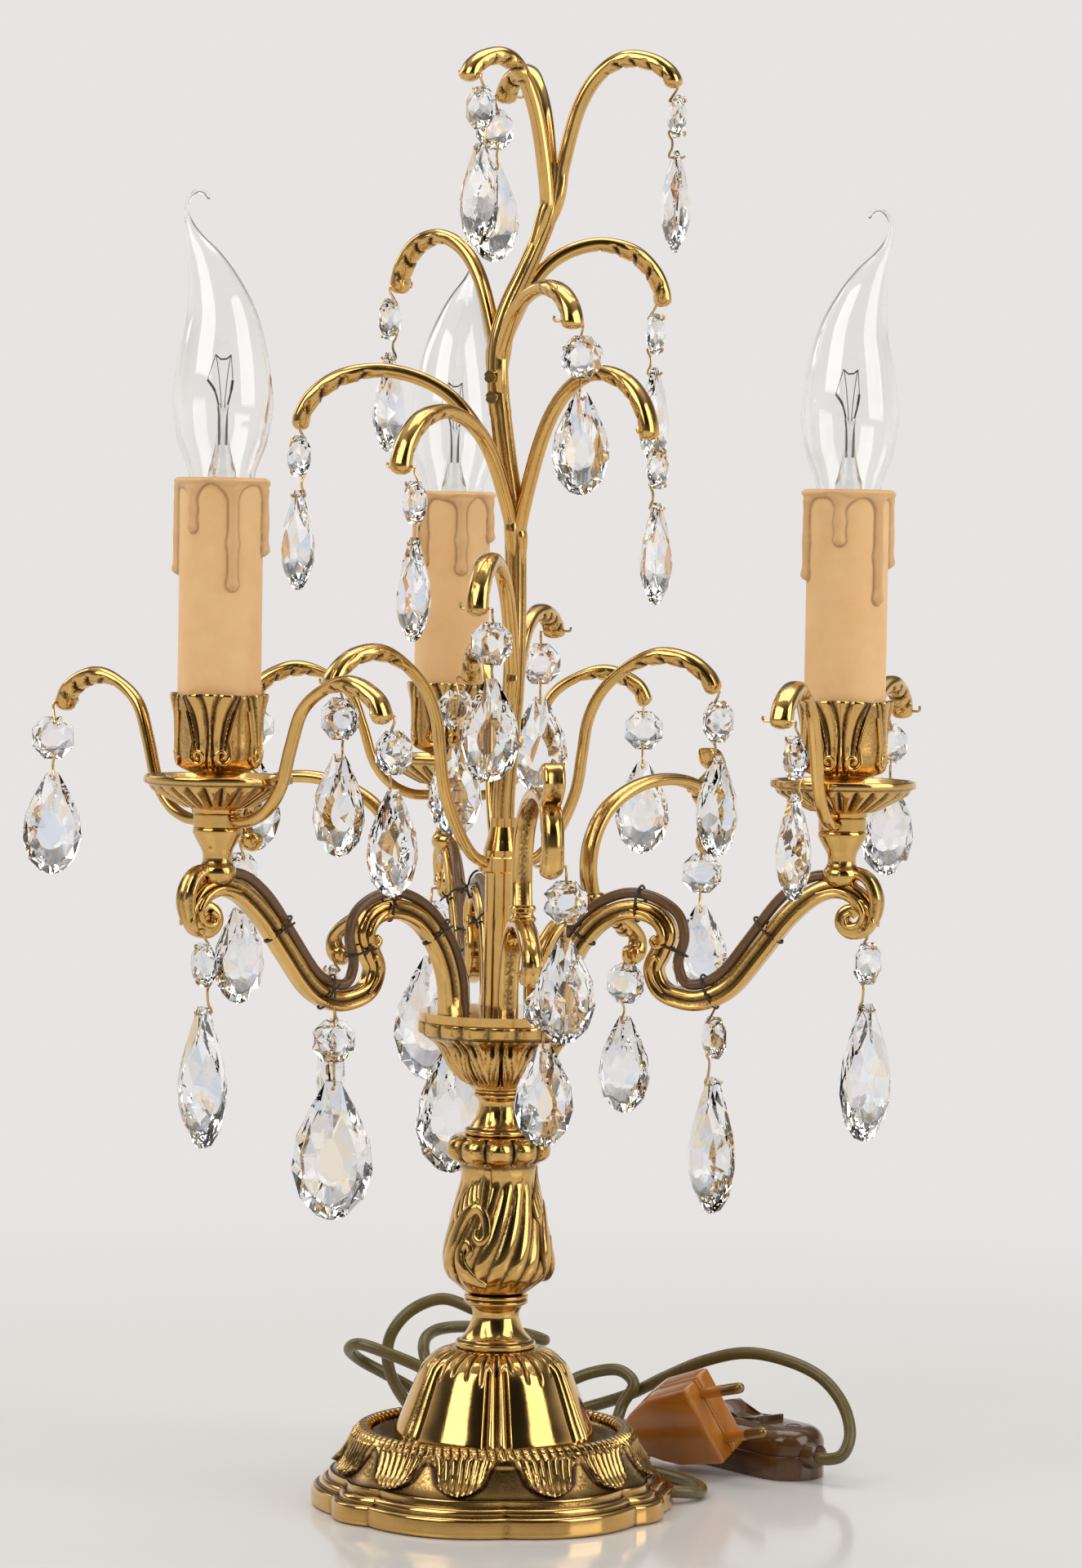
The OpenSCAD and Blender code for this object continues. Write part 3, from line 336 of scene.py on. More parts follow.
class Nodes:
    """Short names for the nodes that the materials share."""

    def __init__(self, name):
        self.material = bpy.data.materials.new(name)
        self.material.use_nodes = True
        self.tree = self.material.node_tree
        self.bsdf = self.tree.nodes["Principled BSDF"]
        self.place = self.new("TexCoord").outputs["Object"]

    def new(self, kind, inputs=None, **settings):
        return new_node(self.tree, kind, inputs, **settings)

    def put(self, socket, value):
        feed(self.tree, self.bsdf.inputs[socket], value)

    def noise(self, scale, detail=4.0, rough=0.55):
        inputs = {"Scale": scale, "Detail": detail, "Roughness": rough, "Vector": self.place}
        return self.new("TexNoise", inputs).outputs["Fac"]

    def attribute(self, name):
        return self.new("Attribute", attribute_name=name).outputs

    def sum(self, operation, a, b):
        clamp = operation != "MULTIPLY"
        return self.new("Math", {0: a, 1: b}, operation=operation, use_clamp=clamp).outputs[0]

    def ramp(self, fac, *stops):
        node = self.new("ValToRGB", {"Fac": fac})
        set_ramp(node, stops)
        return node.outputs["Color"]

    def shaded(self, fac, colour, share, high=0.7):
        """A colour that is darkened to a share of itself where fac is low."""
        return self.ramp(fac, (0.3, tuple(share * c for c in colour)), (high, colour))

    def spread(self, fac, low, high):
        return self.new("MapRange", {"To Min": low, "To Max": high, "Value": fac}).outputs["Result"]

    def mix(self, fac, socket, colour):
        return self.new("Mix", {0: fac, 6: socket, 7: (*colour, 1.0)}, data_type="RGBA").outputs[2]

    def bump(self, height, strength, distance):
        node = self.new("Bump", {"Strength": strength, "Distance": distance, "Height": height})
        self.put("Normal", node.outputs["Normal"])


def brass_material(name, bright, deep, rough, cast=False):
    """Lacquered brass that darkens where its patina is and where shade is painted into it; cast brass has a
    coarser grain.
    """
    n = Nodes(name)
    tarnish = n.noise(55, 5, 0.6)
    blotch = n.noise(420, 3, 0.5)
    tone = n.shaded(tarnish, bright, 0.86, 0.62)
    aged_and_shaded = n.attribute("patina_and_shade")["Fac"]
    half_aged_and_shaded = n.ramp(aged_and_shaded, (0.24, (0, 0, 0)), (0.42, (1, 1, 1)), (0.60, (0, 0, 0)))
    speckle = n.sum("MULTIPLY", n.spread(n.noise(1000, 2, 0.5), -1.3, 1.3), half_aged_and_shaded)
    dirt_and_shade = n.sum("ADD", n.sum("ADD", aged_and_shaded, speckle), n.spread(blotch, -0.10, 0.12))
    n.put("Base Color", n.mix(dirt_and_shade, tone, deep))
    n.put("Metallic", 1.0)
    n.put("Coat Weight", 0.22)
    n.put("Coat Roughness", 0.06)
    dulled = n.spread(dirt_and_shade, 0.0, 0.32)
    n.put("Roughness", n.sum("ADD", n.spread(tarnish, rough * 0.7, rough * 1.5), dulled))
    grain, strength = (1100, 0.35) if cast else (500, 0.12)
    n.bump(n.sum("MULTIPLY", n.noise(grain, 3), n.spread(aged_and_shaded, 0.12, 1.0)), strength, 0.0004)
    return n.material


def cable_material(name, colour, rough):
    n = Nodes(name)
    grime = n.noise(160, 4)
    n.put("Base Color", n.shaded(grime, colour, 0.88))
    n.put("Roughness", n.spread(grime, rough - 0.08, rough + 0.1))
    n.bump(n.noise(900, 2), 0.12, 0.0002)
    return n.material


def wax_material():
    n = Nodes("candle_wax")
    haze = n.noise(70, 4)
    # Painted shade: the wax turns brown in the creases along the drips and down inside the tube's mouth,
    # mottled by noise.
    shade_and_mottle = n.sum("ADD", n.attribute("patina_and_shade")["Fac"], n.spread(n.noise(180, 5), -0.10, 0.12))
    cream = n.ramp(haze, (0.3, (0.90, 0.54, 0.235)), (0.7, (0.94, 0.61, 0.29)))
    n.put("Base Color", n.mix(shade_and_mottle, cream, (0.34, 0.19, 0.09)))
    n.put("Roughness", n.spread(haze, 0.42, 0.6))
    n.put("Subsurface Weight", 0.18)
    n.put("Subsurface Radius", (1.0, 0.5, 0.25))
    n.put("Subsurface Scale", 0.002)
    n.bump(n.noise(380, 4), 0.18, 0.0004)
    return n.material


def crystal_material():
    n = Nodes("crystal")
    # Base colour from the painted prism fire on some facets.
    n.put("Base Color", n.attribute("tint")["Color"])
    n.put("Roughness", 0.0)
    n.put("IOR", 1.58)
    n.put("Transmission Weight", 1.0)
    n.bump(n.noise(240, 2), 0.02, 0.0002)
    return n.material


def glass_material(name, tint, rough=0.0):
    n = Nodes(name)
    n.put("Base Color", n.shaded(n.noise(60, 3), tint, 0.97))
    n.put("Roughness", rough)
    n.put("IOR", 1.47)
    n.put("Transmission Weight", 1.0)
    return n.material


def plastic_material(name, colour, rough, coat=0.3, glow=0.0):
    n = Nodes(name)
    swirl = n.noise(45, 4)
    n.put("Base Color", n.shaded(swirl, colour, 0.7, 0.72))
    n.put("Roughness", n.spread(n.noise(500, 3), rough - 0.05, rough + 0.12))
    n.put("Coat Weight", coat)
    n.put("Coat Roughness", 0.08)
    if glow:
        n.put("Subsurface Weight", glow)
        n.put("Subsurface Radius", (1.0, 0.45, 0.12))
        n.put("Subsurface Scale", 0.006)
    n.bump(n.noise(700, 3), 0.06, 0.0002)
    return n.material


def felt_material():
    n = Nodes("felt")
    nap = n.noise(900, 5, 0.7)
    n.put("Base Color", n.ramp(nap, (0.3, (0.02, 0.05, 0.025)), (0.7, (0.05, 0.10, 0.05))))
    n.put("Roughness", 0.95)
    n.put("Sheen Weight", 0.4)
    n.bump(nap, 0.5, 0.0005)
    return n.material


BRASS = brass_material("brass", (0.72, 0.445, 0.138), (0.045, 0.016, 0.004), 0.11)
CAST = brass_material("cast_brass", (0.73, 0.445, 0.138), (0.042, 0.015, 0.0035), 0.10, cast=True)
DARK = brass_material("dark_brass", (0.30, 0.19, 0.075), (0.06, 0.035, 0.015), 0.28)
WIRE = brass_material("hook_wire", (0.80, 0.56, 0.24), (0.2, 0.1, 0.04), 0.22)
STEEL = brass_material("bulb_cap", (0.62, 0.58, 0.50), (0.2, 0.16, 0.1), 0.25)
FILAMENT = brass_material("filament", (0.16, 0.14, 0.12), (0.05, 0.04, 0.03), 0.4)
CABLE = cable_material("cable", (0.175, 0.088, 0.032), 0.24)
CORD = cable_material("cord", (0.15, 0.115, 0.034), 0.27)
TIE = cable_material("tie_wire", (0.035, 0.022, 0.014), 0.45)
WAX = wax_material()
CRYSTAL = crystal_material()
GLASS = glass_material("bulb_glass", (0.985, 0.985, 0.98))
STEM = glass_material("stem_glass", (0.93, 0.95, 0.94), 0.02)
HOLDER = plastic_material("holder", (0.80, 0.76, 0.68), 0.4, 0.1)
SWITCH = plastic_material("switch_brown", (0.135, 0.054, 0.012), 0.16, 0.5)
AMBER = plastic_material("plug_amber", (0.55, 0.195, 0.014), 0.2, 0.4, glow=0.35)
FELT = felt_material()


# Cords: out of the base on the right, through the switch, and in loops behind the base to the plug

CORD_D = 4.4
SWITCH_PLACE = np.array([91.0, 77.0, 0.0])
SWITCH_TURN = 128.0
SWITCH_L, SWITCH_W, SWITCH_H = 68.0, 25.0, 18.0
SWITCH_CORNER, SEAM_IN, SEAM_HALF = 12.0, 0.6, 0.25
ROCKER_L, ROCKER_W, ROCKER_PIVOT_Z, ROCKER_TILT = 24.0, 11.0, 13.5, 5.0
SWITCH_WAY = polar(SWITCH_TURN, 1.0)
SWITCH_BACK = SWITCH_PLACE + SWITCH_WAY * SWITCH_L / 2 + [0, 0, SWITCH_H / 2]
SWITCH_FRONT = SWITCH_PLACE - SWITCH_WAY * SWITCH_L / 2 + [0, 0, SWITCH_H / 2]
CORD_LEAD = 9.0
PLUG_PLACE = np.array([65.2, 61.3, 18.5])
PLUG_TURN = (27.0, -14.0, -44.0)
PLUG_L, PLUG_W, PLUG_T = 36.0, 31.0, 16.0
PLUG_PIN_R, PLUG_PIN_GAP = 2.0, 18.6
PLUG_FRAME = np.array((Matrix.Rotation(math.radians(PLUG_TURN[2]), 3, "Z")
                       @ Matrix.Rotation(math.radians(PLUG_TURN[1]), 3, "Y")
                       @ Matrix.Rotation(math.radians(PLUG_TURN[0]), 3, "X")))
PLUG_WAY = PLUG_FRAME @ np.array([1.0, 0.0, 0.0])
PLUG_REAR = PLUG_PLACE - PLUG_WAY * PLUG_L / 2

CORD_IN = np.vstack([
    [[56, 4.9, 4.2], [62, 5.4, 4.2], [68.5, 8.5, 3.4], [71.5, 15, 2.4], [71.5, 24, 2.4], [66, 36, 2.4],
     [57, 48, 2.4], [46, 60, 2.4], [37, 72, 2.4], [31, 87, 2.4], [31, 103, 2.4], [38, 116, 3.4],
     [49, 121, 6], [58, 118, 8.4]],
    [SWITCH_BACK + SWITCH_WAY * CORD_LEAD, SWITCH_BACK]])
CORD_OUT = np.vstack([
    [SWITCH_FRONT, SWITCH_FRONT - SWITCH_WAY * CORD_LEAD],
    [[122.5, 40.5, 11.5], [125, 44, 18.5], [122.5, 51, 27.5], [115, 58.5, 35.5], [103, 66, 40], [89, 74, 41],
     [74.5, 82, 36.5], [60.5, 89.5, 29], [48, 96, 21.5], [32, 102.5, 15], [14, 105, 9.5], [-8, 104, 10],
     [-22, 103, 16], [-32, 102, 22], [-42, 101, 27.5], [-50, 97.5, 32.5], [-53.5, 90, 37.5],
     [-49.5, 83, 40.5], [-39.5, 79.5, 38], [-27, 79, 33], [-13, 80, 25], [-1, 81.5, 15.5], [4, 85.5, 7.5],
     [-1, 91, 3.4], [-11, 94.5, 2.6], [-23, 94, 8.5], [-33, 92.5, 18.5], [-39, 91.5, 30], [-39, 92, 41.5],
     [-32, 93, 51], [-20.5, 95, 55.5], [-9, 97.5, 51.5], [2, 100.5, 45.5], [12, 104.5, 40.5],
     [17, 110.5, 38.5], [11, 116, 39.5], [-1, 116.5, 41.5], [-14, 113, 42.5], [-22.5, 107.5, 42],
     [-26.5, 100, 39.5], [-26, 93, 34], [-20.5, 89.5, 27], [-9, 91, 21.5], [7, 97, 20], [22, 100.5, 23.5],
     [34, 99.5, 28.5], [44, 95, 30.5], [49.5, 89.5, 26.5], [45.5, 88.5, 19], [44, 85, 13.5]],
    [PLUG_REAR - PLUG_WAY * CORD_LEAD, PLUG_REAR]])


def make_cord(name, route, node):
    line = spline(route, 8)
    data = bpy.data.curves.new(name, "CURVE")
    data.dimensions = "3D"
    data.bevel_depth = CORD_D / 2 * MM
    data.bevel_resolution = 5
    data.use_fill_caps = True
    row = data.splines.new("POLY")
    row.points.add(len(line) - 1)
    row.points.foreach_set("co", np.hstack([line * MM, np.ones((len(line), 1))]).ravel())
    row.use_smooth = True
    data.materials.append(CORD)
    obj = placed(name, data)
    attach(obj, LAMP)
    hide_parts(node)
    return obj, line


def tail(piece, end, way, long, r0, r1):
    """A tapered, ribbed strain relief that grips a cord."""
    steps = 30
    u = np.linspace(0, 1, steps)
    ribs = 1 + 0.06 * np.sign(np.sin(u * 2 * math.pi * 5))
    tube(piece, end + np.outer(u * long, way), (r0 + (r1 - r0) * u) * ribs, 20)


def rounded_prism(points, height, soft, steps=3, top_only=False):
    """A prism on a flat outline with its edges rounded, or only those of its top; returns a bmesh."""
    bm = bmesh.new()
    low = [bm.verts.new((x, y, 0.0)) for x, y in points]
    face = bm.faces.new(low)
    made = bmesh.ops.extrude_face_region(bm, geom=[face])
    raised = [v for v in made["geom"] if isinstance(v, bmesh.types.BMVert)]
    bmesh.ops.translate(bm, vec=(0, 0, height), verts=raised)
    bmesh.ops.recalc_face_normals(bm, faces=bm.faces)
    edges = [e for e in bm.edges if not top_only or min(v.co.z for v in e.verts) > height - 0.001]
    bmesh.ops.bevel(bm, geom=edges, offset=soft, segments=steps, profile=0.5, affect="EDGES",
                    clamp_overlap=True)
    return bm


def add_bmesh(piece, bm, turn, place, material=0, patina_and_shade=0.0):
    bm.verts.ensure_lookup_table()
    bm.verts.index_update()
    points = np.array([v.co for v in bm.verts]) @ np.asarray(turn).T + place
    piece.add(points, [[v.index for v in f.verts] for f in bm.faces], patina_and_shade, material)
    bm.free()


def turn_z(angle):
    return np.array(Matrix.Rotation(math.radians(angle), 3, "Z"))


def switch_outline(length, width, corner):
    quarter = [(length / 2 - corner + corner * math.sin(a), width / 2 - corner + corner * math.cos(a))
               for a in np.linspace(0, math.pi / 2, 7)]
    return ([(x, y) for x, y in quarter] + [(x, -y) for x, y in reversed(quarter)]
            + [(-x, -y) for x, y in quarter] + [(-x, y) for x, y in reversed(quarter)])


def make_switch():
    piece = Piece("switch_case")
    half_h = SWITCH_H / 2
    turn = turn_z(SWITCH_TURN)
    outline = switch_outline(SWITCH_L, SWITCH_W, SWITCH_CORNER)[::-1]
    shell = half_h - SEAM_HALF
    add_bmesh(piece, rounded_prism(outline, shell, 1.0), turn, SWITCH_PLACE)
    seam = switch_outline(SWITCH_L - 2 * SEAM_IN, SWITCH_W - 2 * SEAM_IN, SWITCH_CORNER - SEAM_IN)[::-1]
    add_bmesh(piece, rounded_prism(seam, 1.6, 0.1, 1), turn, SWITCH_PLACE + [0, 0, half_h - 0.8], patina_and_shade=1.0)
    add_bmesh(piece, rounded_prism(outline, shell, 6.0, 7, True), turn,
              SWITCH_PLACE + [0, 0, half_h + SEAM_HALF])
    for s in (-1, 1):
        end = SWITCH_PLACE + [0, 0, half_h] + s * SWITCH_WAY * (SWITCH_L / 2 - 1.5)
        tube(piece, [end + s * SWITCH_WAY * out for out in (0, 1.2, 5, 5.6)], [5.0, 5.0, 4.2, 3.2], 20)
    for s in (-1, 1):
        well = SWITCH_PLACE + [0, 0, SWITCH_H] + s * SWITCH_WAY * 24
        revolve(piece, [[3.3, -0.6], [3.3, 0.12], [2.7, 0.2], [2.5, -0.5]], 24, origin=well)
        head = [[2.4, -0.4], [2.3, -0.05], [0.2, 0.0]]
        revolve(piece, head, 24, origin=well, caps=(False, True), material=1)
    return piece.build([SWITCH, DARK], LAMP, ["switch_housing"])


def make_rocker():
    """The rocker's key, dished between two raised ends, on its pivot."""
    piece = Piece("switch_key")
    long, wide, rise = ROCKER_L, ROCKER_W, 2.2
    xs = np.linspace(-long / 2, long / 2, 25)
    top = 4.6 + (0.8 + rise) * smooth((np.abs(xs) / (long / 2) - 0.3) / 0.7)
    rows = []
    for share, soft in ((0.0, 0.55), (0.05, 0.0), (0.95, 0.0), (1.0, 0.55)):
        y = (share - 0.5) * wide
        upper = [(x * (1 - 0.02 * (soft > 0)), y, t - soft) for x, t in zip(xs, top)]
        lower = [(long / 2 - 0.2, y, 2.6), (3, y, -1.4), (-3, y, -1.4), (-long / 2 + 0.2, y, 2.6)]
        rows.append(upper + lower)
    rows = np.array(rows)
    tilt = np.array(Matrix.Rotation(math.radians(-ROCKER_TILT), 3, "Y"))
    rows = rows @ tilt.T @ turn_z(SWITCH_TURN).T + SWITCH_PLACE + [0, 0, ROCKER_PIVOT_Z]
    piece.grid(rows, caps=BOTH_ENDS)
    return piece.build([SWITCH], "switch_rocker", ["switch_rocker"], sharp=50)


def make_plug():
    piece = Piece("plug_body")
    outline = [(0, 6), (3, 8.5), (9, 11.4), (16, 14), (PLUG_L - 3, PLUG_W / 2), (PLUG_L, PLUG_W / 2)]
    outline = outline + [(x, -y) for x, y in reversed(outline)]
    lay = np.array([[1, 0, 0], [0, 0, -1], [0, 1, 0]], float)
    shift = np.array([-PLUG_L / 2, PLUG_T / 2, 0.0])
    for thick, start, less in ((7.6, 0.0, 0.0), (1.2, 7.4, 0.5), (7.6, 8.4, 0.0)):
        shrunk = [(x * (1 - less / 40) + less / 2, y * (1 - less / 15)) for x, y in outline]
        soft = 2.2 if not less else 0.2
        add_bmesh(piece, rounded_prism(shrunk, thick, soft, 4), PLUG_FRAME @ lay,
                  PLUG_PLACE + PLUG_FRAME @ (shift + [0, -start, 0]))
    for s in (-1, 1):
        root = PLUG_PLACE + PLUG_FRAME @ np.array([PLUG_L / 2 - 1, 0, s * PLUG_PIN_GAP / 2])
        covered = [PLUG_PIN_R, PLUG_PIN_R, PLUG_PIN_R - 0.15]
        tube(piece, [root, root + PLUG_WAY * 10.6, root + PLUG_WAY * 11], covered, 20)
        at = np.array([10.5, 11.2, 17.6, 18.9, 19.6, 19.95])
        tube(piece, root + np.outer(at, PLUG_WAY), [1.9, 1.98, 1.98, 1.75, 1.2, 0.4], 20, material=1)
    tail(piece, PLUG_REAR + PLUG_WAY * 2, -PLUG_WAY, CORD_LEAD + 1, 4.4, 3.1)
    return piece.build([AMBER, DARK], LAMP, ["plug"])


cord_in, line_in = make_cord("cord_to_switch_skin", CORD_IN, "cord_to_switch")
cord_out, line_out = make_cord("cord_to_plug_skin", CORD_OUT, "cord_to_plug")
switch_case = make_switch()
make_rocker()
plug_body = make_plug()


# Base and column

Z_SPOOL_LOW, Z_BALUSTER, Z_SPOOL_HIGH, Z_LEAF_CUP = 54.4, 72.8, 127.4, 143.0
Z_DECK, Z_HUB, Z_TREE = 169.5, 217.0, 235.5
CUSP = 275.0
FRONT = 272.0
BASE_SIDES, COLUMN_SIDES = 760, 432


def lobe_share(deg):
    """0 at the notches between the plinth's lobes, 1 at the middle of a lobe."""
    a = np.mod(deg - CUSP, 120.0)
    u = np.where(a < 49, a / 49, np.where(a < 71, (a - 49) / 22, (a - 71) / 49))
    return np.sin(math.pi * u)


def make_base():
    """The lobed plinth, the collar of leaves under a corded rim, and the ribbed bell.

    Each row is its radius, its height, how far it follows the lobes, and its patina.
    """
    plinth = [[59, 0.2, 1, 0.4], [61.6, 0.25, 1, 0.2], [62.4, 1.0, 1, 0], [62.5, 2.4, 1, 0],
              [62.5, 4.8, 1, 0], [62.3, 6.3, 1, 0], [61.4, 7.0, 1, 0.1], [60.2, 6.9, 1, 1],
              [59.6, 7.2, 1, 0.7], [59.6, 8.2, 1, 0], [58.9, 9.2, 1, 0], [57.9, 9.5, 1, 0.1],
              [57.1, 9.2, 0.95, 1], [56.7, 9.7, 0.9, 0.7], [56.5, 10.8, 0.85, 0], [56.3, 11.7, 0.8, 0],
              [55.8, 11.9, 0.7, 0.2], [55.2, 11.6, 0.6, 1]]
    ground = [[54.9, 12.3, 0.5, 0.5], [53.2, 14.2, 0.4, 0.1], [51.4, 16.8, 0.3, 0.05],
              [49.8, 19.4, 0.2, 0], [48.3, 22, 0.1, 0], [47.3, 24.2, 0, 0]]
    rim = [[47.2, 25.4, 0, 0], [46.7, 26.5, 0, 0], [45.7, 27.2, 0, 0], [44.4, 27.3, 0, 0],
           [43.0, 26.6, 0, 0.1], [42.1, 25.2, 0, 0.4]]
    trough = [[41.0, 23.8, 0, 0.7], [39.4, 22.9, 0, 0.75], [37.4, 22.5, 0, 0.7], [35.6, 22.3, 0, 0.8]]
    bell = [[34.3, 22.6, 0, 0.6], [33.8, 24.2, 0, 0.1], [33.0, 26.6, 0, 0], [31.0, 31.4, 0, 0],
            [28.9, 36.8, 0, 0], [26.7, 42.4, 0, 0], [24.6, 47.2, 0, 0], [22.6, 50.6, 0, 0],
            [20.2, 52.6, 0, 0], [17.2, 53.8, 0, 0], [14.4, 54.3, 0, 0.3], [11.5, 54.4, 0, 0.6]]
    rows = spline(plinth + ground + rim + trough + bell, 6)
    follow = rows[:, 2:3]

    def shape(theta, share, r, z):
        deg = np.degrees(theta)
        lobe = lobe_share(deg)
        out = -2.9 * (1 - lobe) * follow
        dirt_and_shade = 0.35 * bump_at(lobe, 0.0, 0.08) * (z < 12) * (follow > 0.5)

        collar = (r > 41.6) & (z > 11.8)
        turn = np.mod(deg - CUSP, 120.0)
        a = (turn - np.select([turn < 31, turn < 60, turn < 89], [17.0, 45.0, 75.0], 103.0)) / 15.0
        h = np.clip((z - 12.8) / 12.0, 0, 1)
        wide = np.interp(h, [0, 0.04, 0.12, 0.25, 0.45, 0.7, 1], [0, 0.20, 0.41, 0.56, 0.65, 0.76, 0.95])
        leaf = smooth((wide - np.abs(a)) / 0.09)
        ribs = 0.5 + 0.5 * np.cos(9 * math.pi * a / np.maximum(0.35 + 0.65 * wide, 0.3))
        onto_rim = 1 - smooth((z - 24.0) / 2.0)
        small = smooth((0.42 - np.abs(np.abs(a) - 1.0)) / 0.1) * smooth((z - 20.6) / 2.0)
        raised = leaf * (1.2 + 0.9 * bump_at(h, 0.12, 0.16) + 0.62 * ribs)
        out = out + collar * onto_rim * (raised + 0.7 * small * (1 - leaf))
        # Painted shadow just outside the edge of each leaf, added to the patina.
        shadow = bump_at(wide - np.abs(a), -0.05, 0.08) * (h < 0.98)
        dirt_and_shade = dirt_and_shade + collar * onto_rim * ((1 - leaf) * 0.42 * (1 - small) + 0.8 * shadow
                                           + leaf * smooth((0.4 - ribs) / 0.35))

        roll = smooth((z - 23.6) / 1.4) * (r > 41.6)
        cord = np.cos(96 * theta + 50.0 * (share - 0.5))
        out = out + roll * 0.6 * cord
        dirt_and_shade = dirt_and_shade + roll * smooth((-cord - 0.15) / 0.7)

        on_bell = smooth((z - 23.4) / 2.6) * smooth((51.8 - z) / 4.0) * (r < 35)
        b = np.mod(deg - FRONT + 30.0, 60.0) - 30.0
        middle = bump_at(b, 0, 1.1)
        ridges = bump_at(np.abs(b), 3.4, 1.6)
        sides = bump_at(np.abs(b), 7.2, 1.1)
        panel = np.clip(1 - (np.abs(np.abs(b) - 30.0) / 22.0) ** 2, 0, 1)
        out = out + on_bell * (0.7 * ridges - 0.9 * middle - 1.2 * sides + 0.9 * panel)
        dirt_and_shade = dirt_and_shade + on_bell * 0.95 * (middle + sides)
        slot = np.mod(deg - FRONT + 6.0, 12.0) - 6.0
        long = 46.4 + 1.6 * np.cos(np.radians(deg * 9)) + 0.9 * np.cos(np.radians(deg * 5 + 40))
        cut = (bump_at(slot * r / 57.3, 0, 0.62) * smooth((z - long) / 1.2) * smooth((r - 14.6) / 1.5)
               * (r < 27) * (z > 40))
        out = out - 0.8 * cut
        up = -0.7 * cut * smooth((z - 50) / 3)
        dirt_and_shade = dirt_and_shade + cut
        return out, up, dirt_and_shade

    piece = Piece("base_skin")
    revolve(piece, rows[:, :2], BASE_SIDES, shape, patina_and_shade=rows[:, 3], caps=(False, True))
    inside = [[59, 0.2], [54.6, 0.3], [54.4, 5.8], [48.5, 9.8], [42.6, 19.8], [28, 19.8], [22, 36.6],
              [14.5, 49.8], [6, 49.9]]
    revolve(piece, inside, BASE_SIDES, patina_and_shade=[0.8] * len(inside))
    return piece.build([CAST], LAMP, ["base_casting"])


def make_spools():
    low = [[9.6, 0], [12.9, 0.05], [13.6, 0.4], [13.7, 1.1], [13.6, 1.9], [13.0, 2.4], [12.3, 2.5],
           [12.1, 3.0], [11.3, 3.7], [10.2, 5.1], [9.2, 7.0], [8.4, 9.2], [8.0, 10.8], [8.1, 12.2],
           [8.6, 13.4], [9.5, 14.5], [10.4, 15.1], [10.9, 15.5], [11.0, 16.0], [10.8, 16.4], [10.3, 16.6],
           [10.3, 16.9], [10.8, 17.1], [11.0, 17.6], [10.8, 18.2], [9.4, 18.4]]
    high = [[8.8, 0], [11.0, 0.05], [11.6, 0.4], [11.7, 1.0], [11.5, 1.7], [10.9, 2.1], [10.2, 2.2],
            [10.0, 2.7], [9.2, 3.8], [8.2, 5.6], [7.5, 7.6], [7.1, 9.4], [7.0, 10.6], [7.2, 11.6],
            [7.8, 12.5], [8.2, 12.8], [8.6, 13.2], [8.7, 13.8], [8.3, 14.2], [8.3, 14.4], [8.7, 14.7],
            [8.7, 15.2], [8.2, 15.6]]
    piece = Piece("spool_skin")
    for line, z, grooves in ((low, Z_SPOOL_LOW, (2.45, 16.75)), (high, Z_SPOOL_HIGH, (2.2, 14.3))):
        rows = spline(line, 4)
        dirt_and_shade = sum(0.9 * bump_at(rows[:, 1], g, 0.28) for g in grooves) + 0.5 * bump_at(rows[:, 1], 0, 0.2)
        revolve(piece, rows + [0, z], 128, patina_and_shade=dirt_and_shade, caps=BOTH_ENDS)
    return piece.build([BRASS], LAMP, ["column_spools"])


def ribbon_on(piece, places, profile, width, z0, lift, sides=14):
    """A tapered scroll laid on a turned surface: places are (angle, height) points."""
    path = np.array([polar(a, np.interp(h, profile[:, 1], profile[:, 0]) + lift, z0 + h)
                     for a, h in spline(places, 7)])
    share = shares(path)
    out = path * [1, 1, 0]
    out = out / np.linalg.norm(out, axis=1)[:, None]
    half = np.interp(share, np.linspace(0, 1, len(width)), width)
    way = headings(path)
    side = np.cross(way, out)
    unit = oval(1.0, 0.62, sides, 0.9)
    rows = [path[i] + half[i] * (unit[:, :1] * side[i] + unit[:, 1:] * out[i]) for i in range(len(path))]
    edge = 0.75 * smooth((np.abs(unit[:, 0]) - 0.72) / 0.28)
    piece.grid(np.array(rows), np.broadcast_to(edge, (len(path), sides)), caps=BOTH_ENDS)


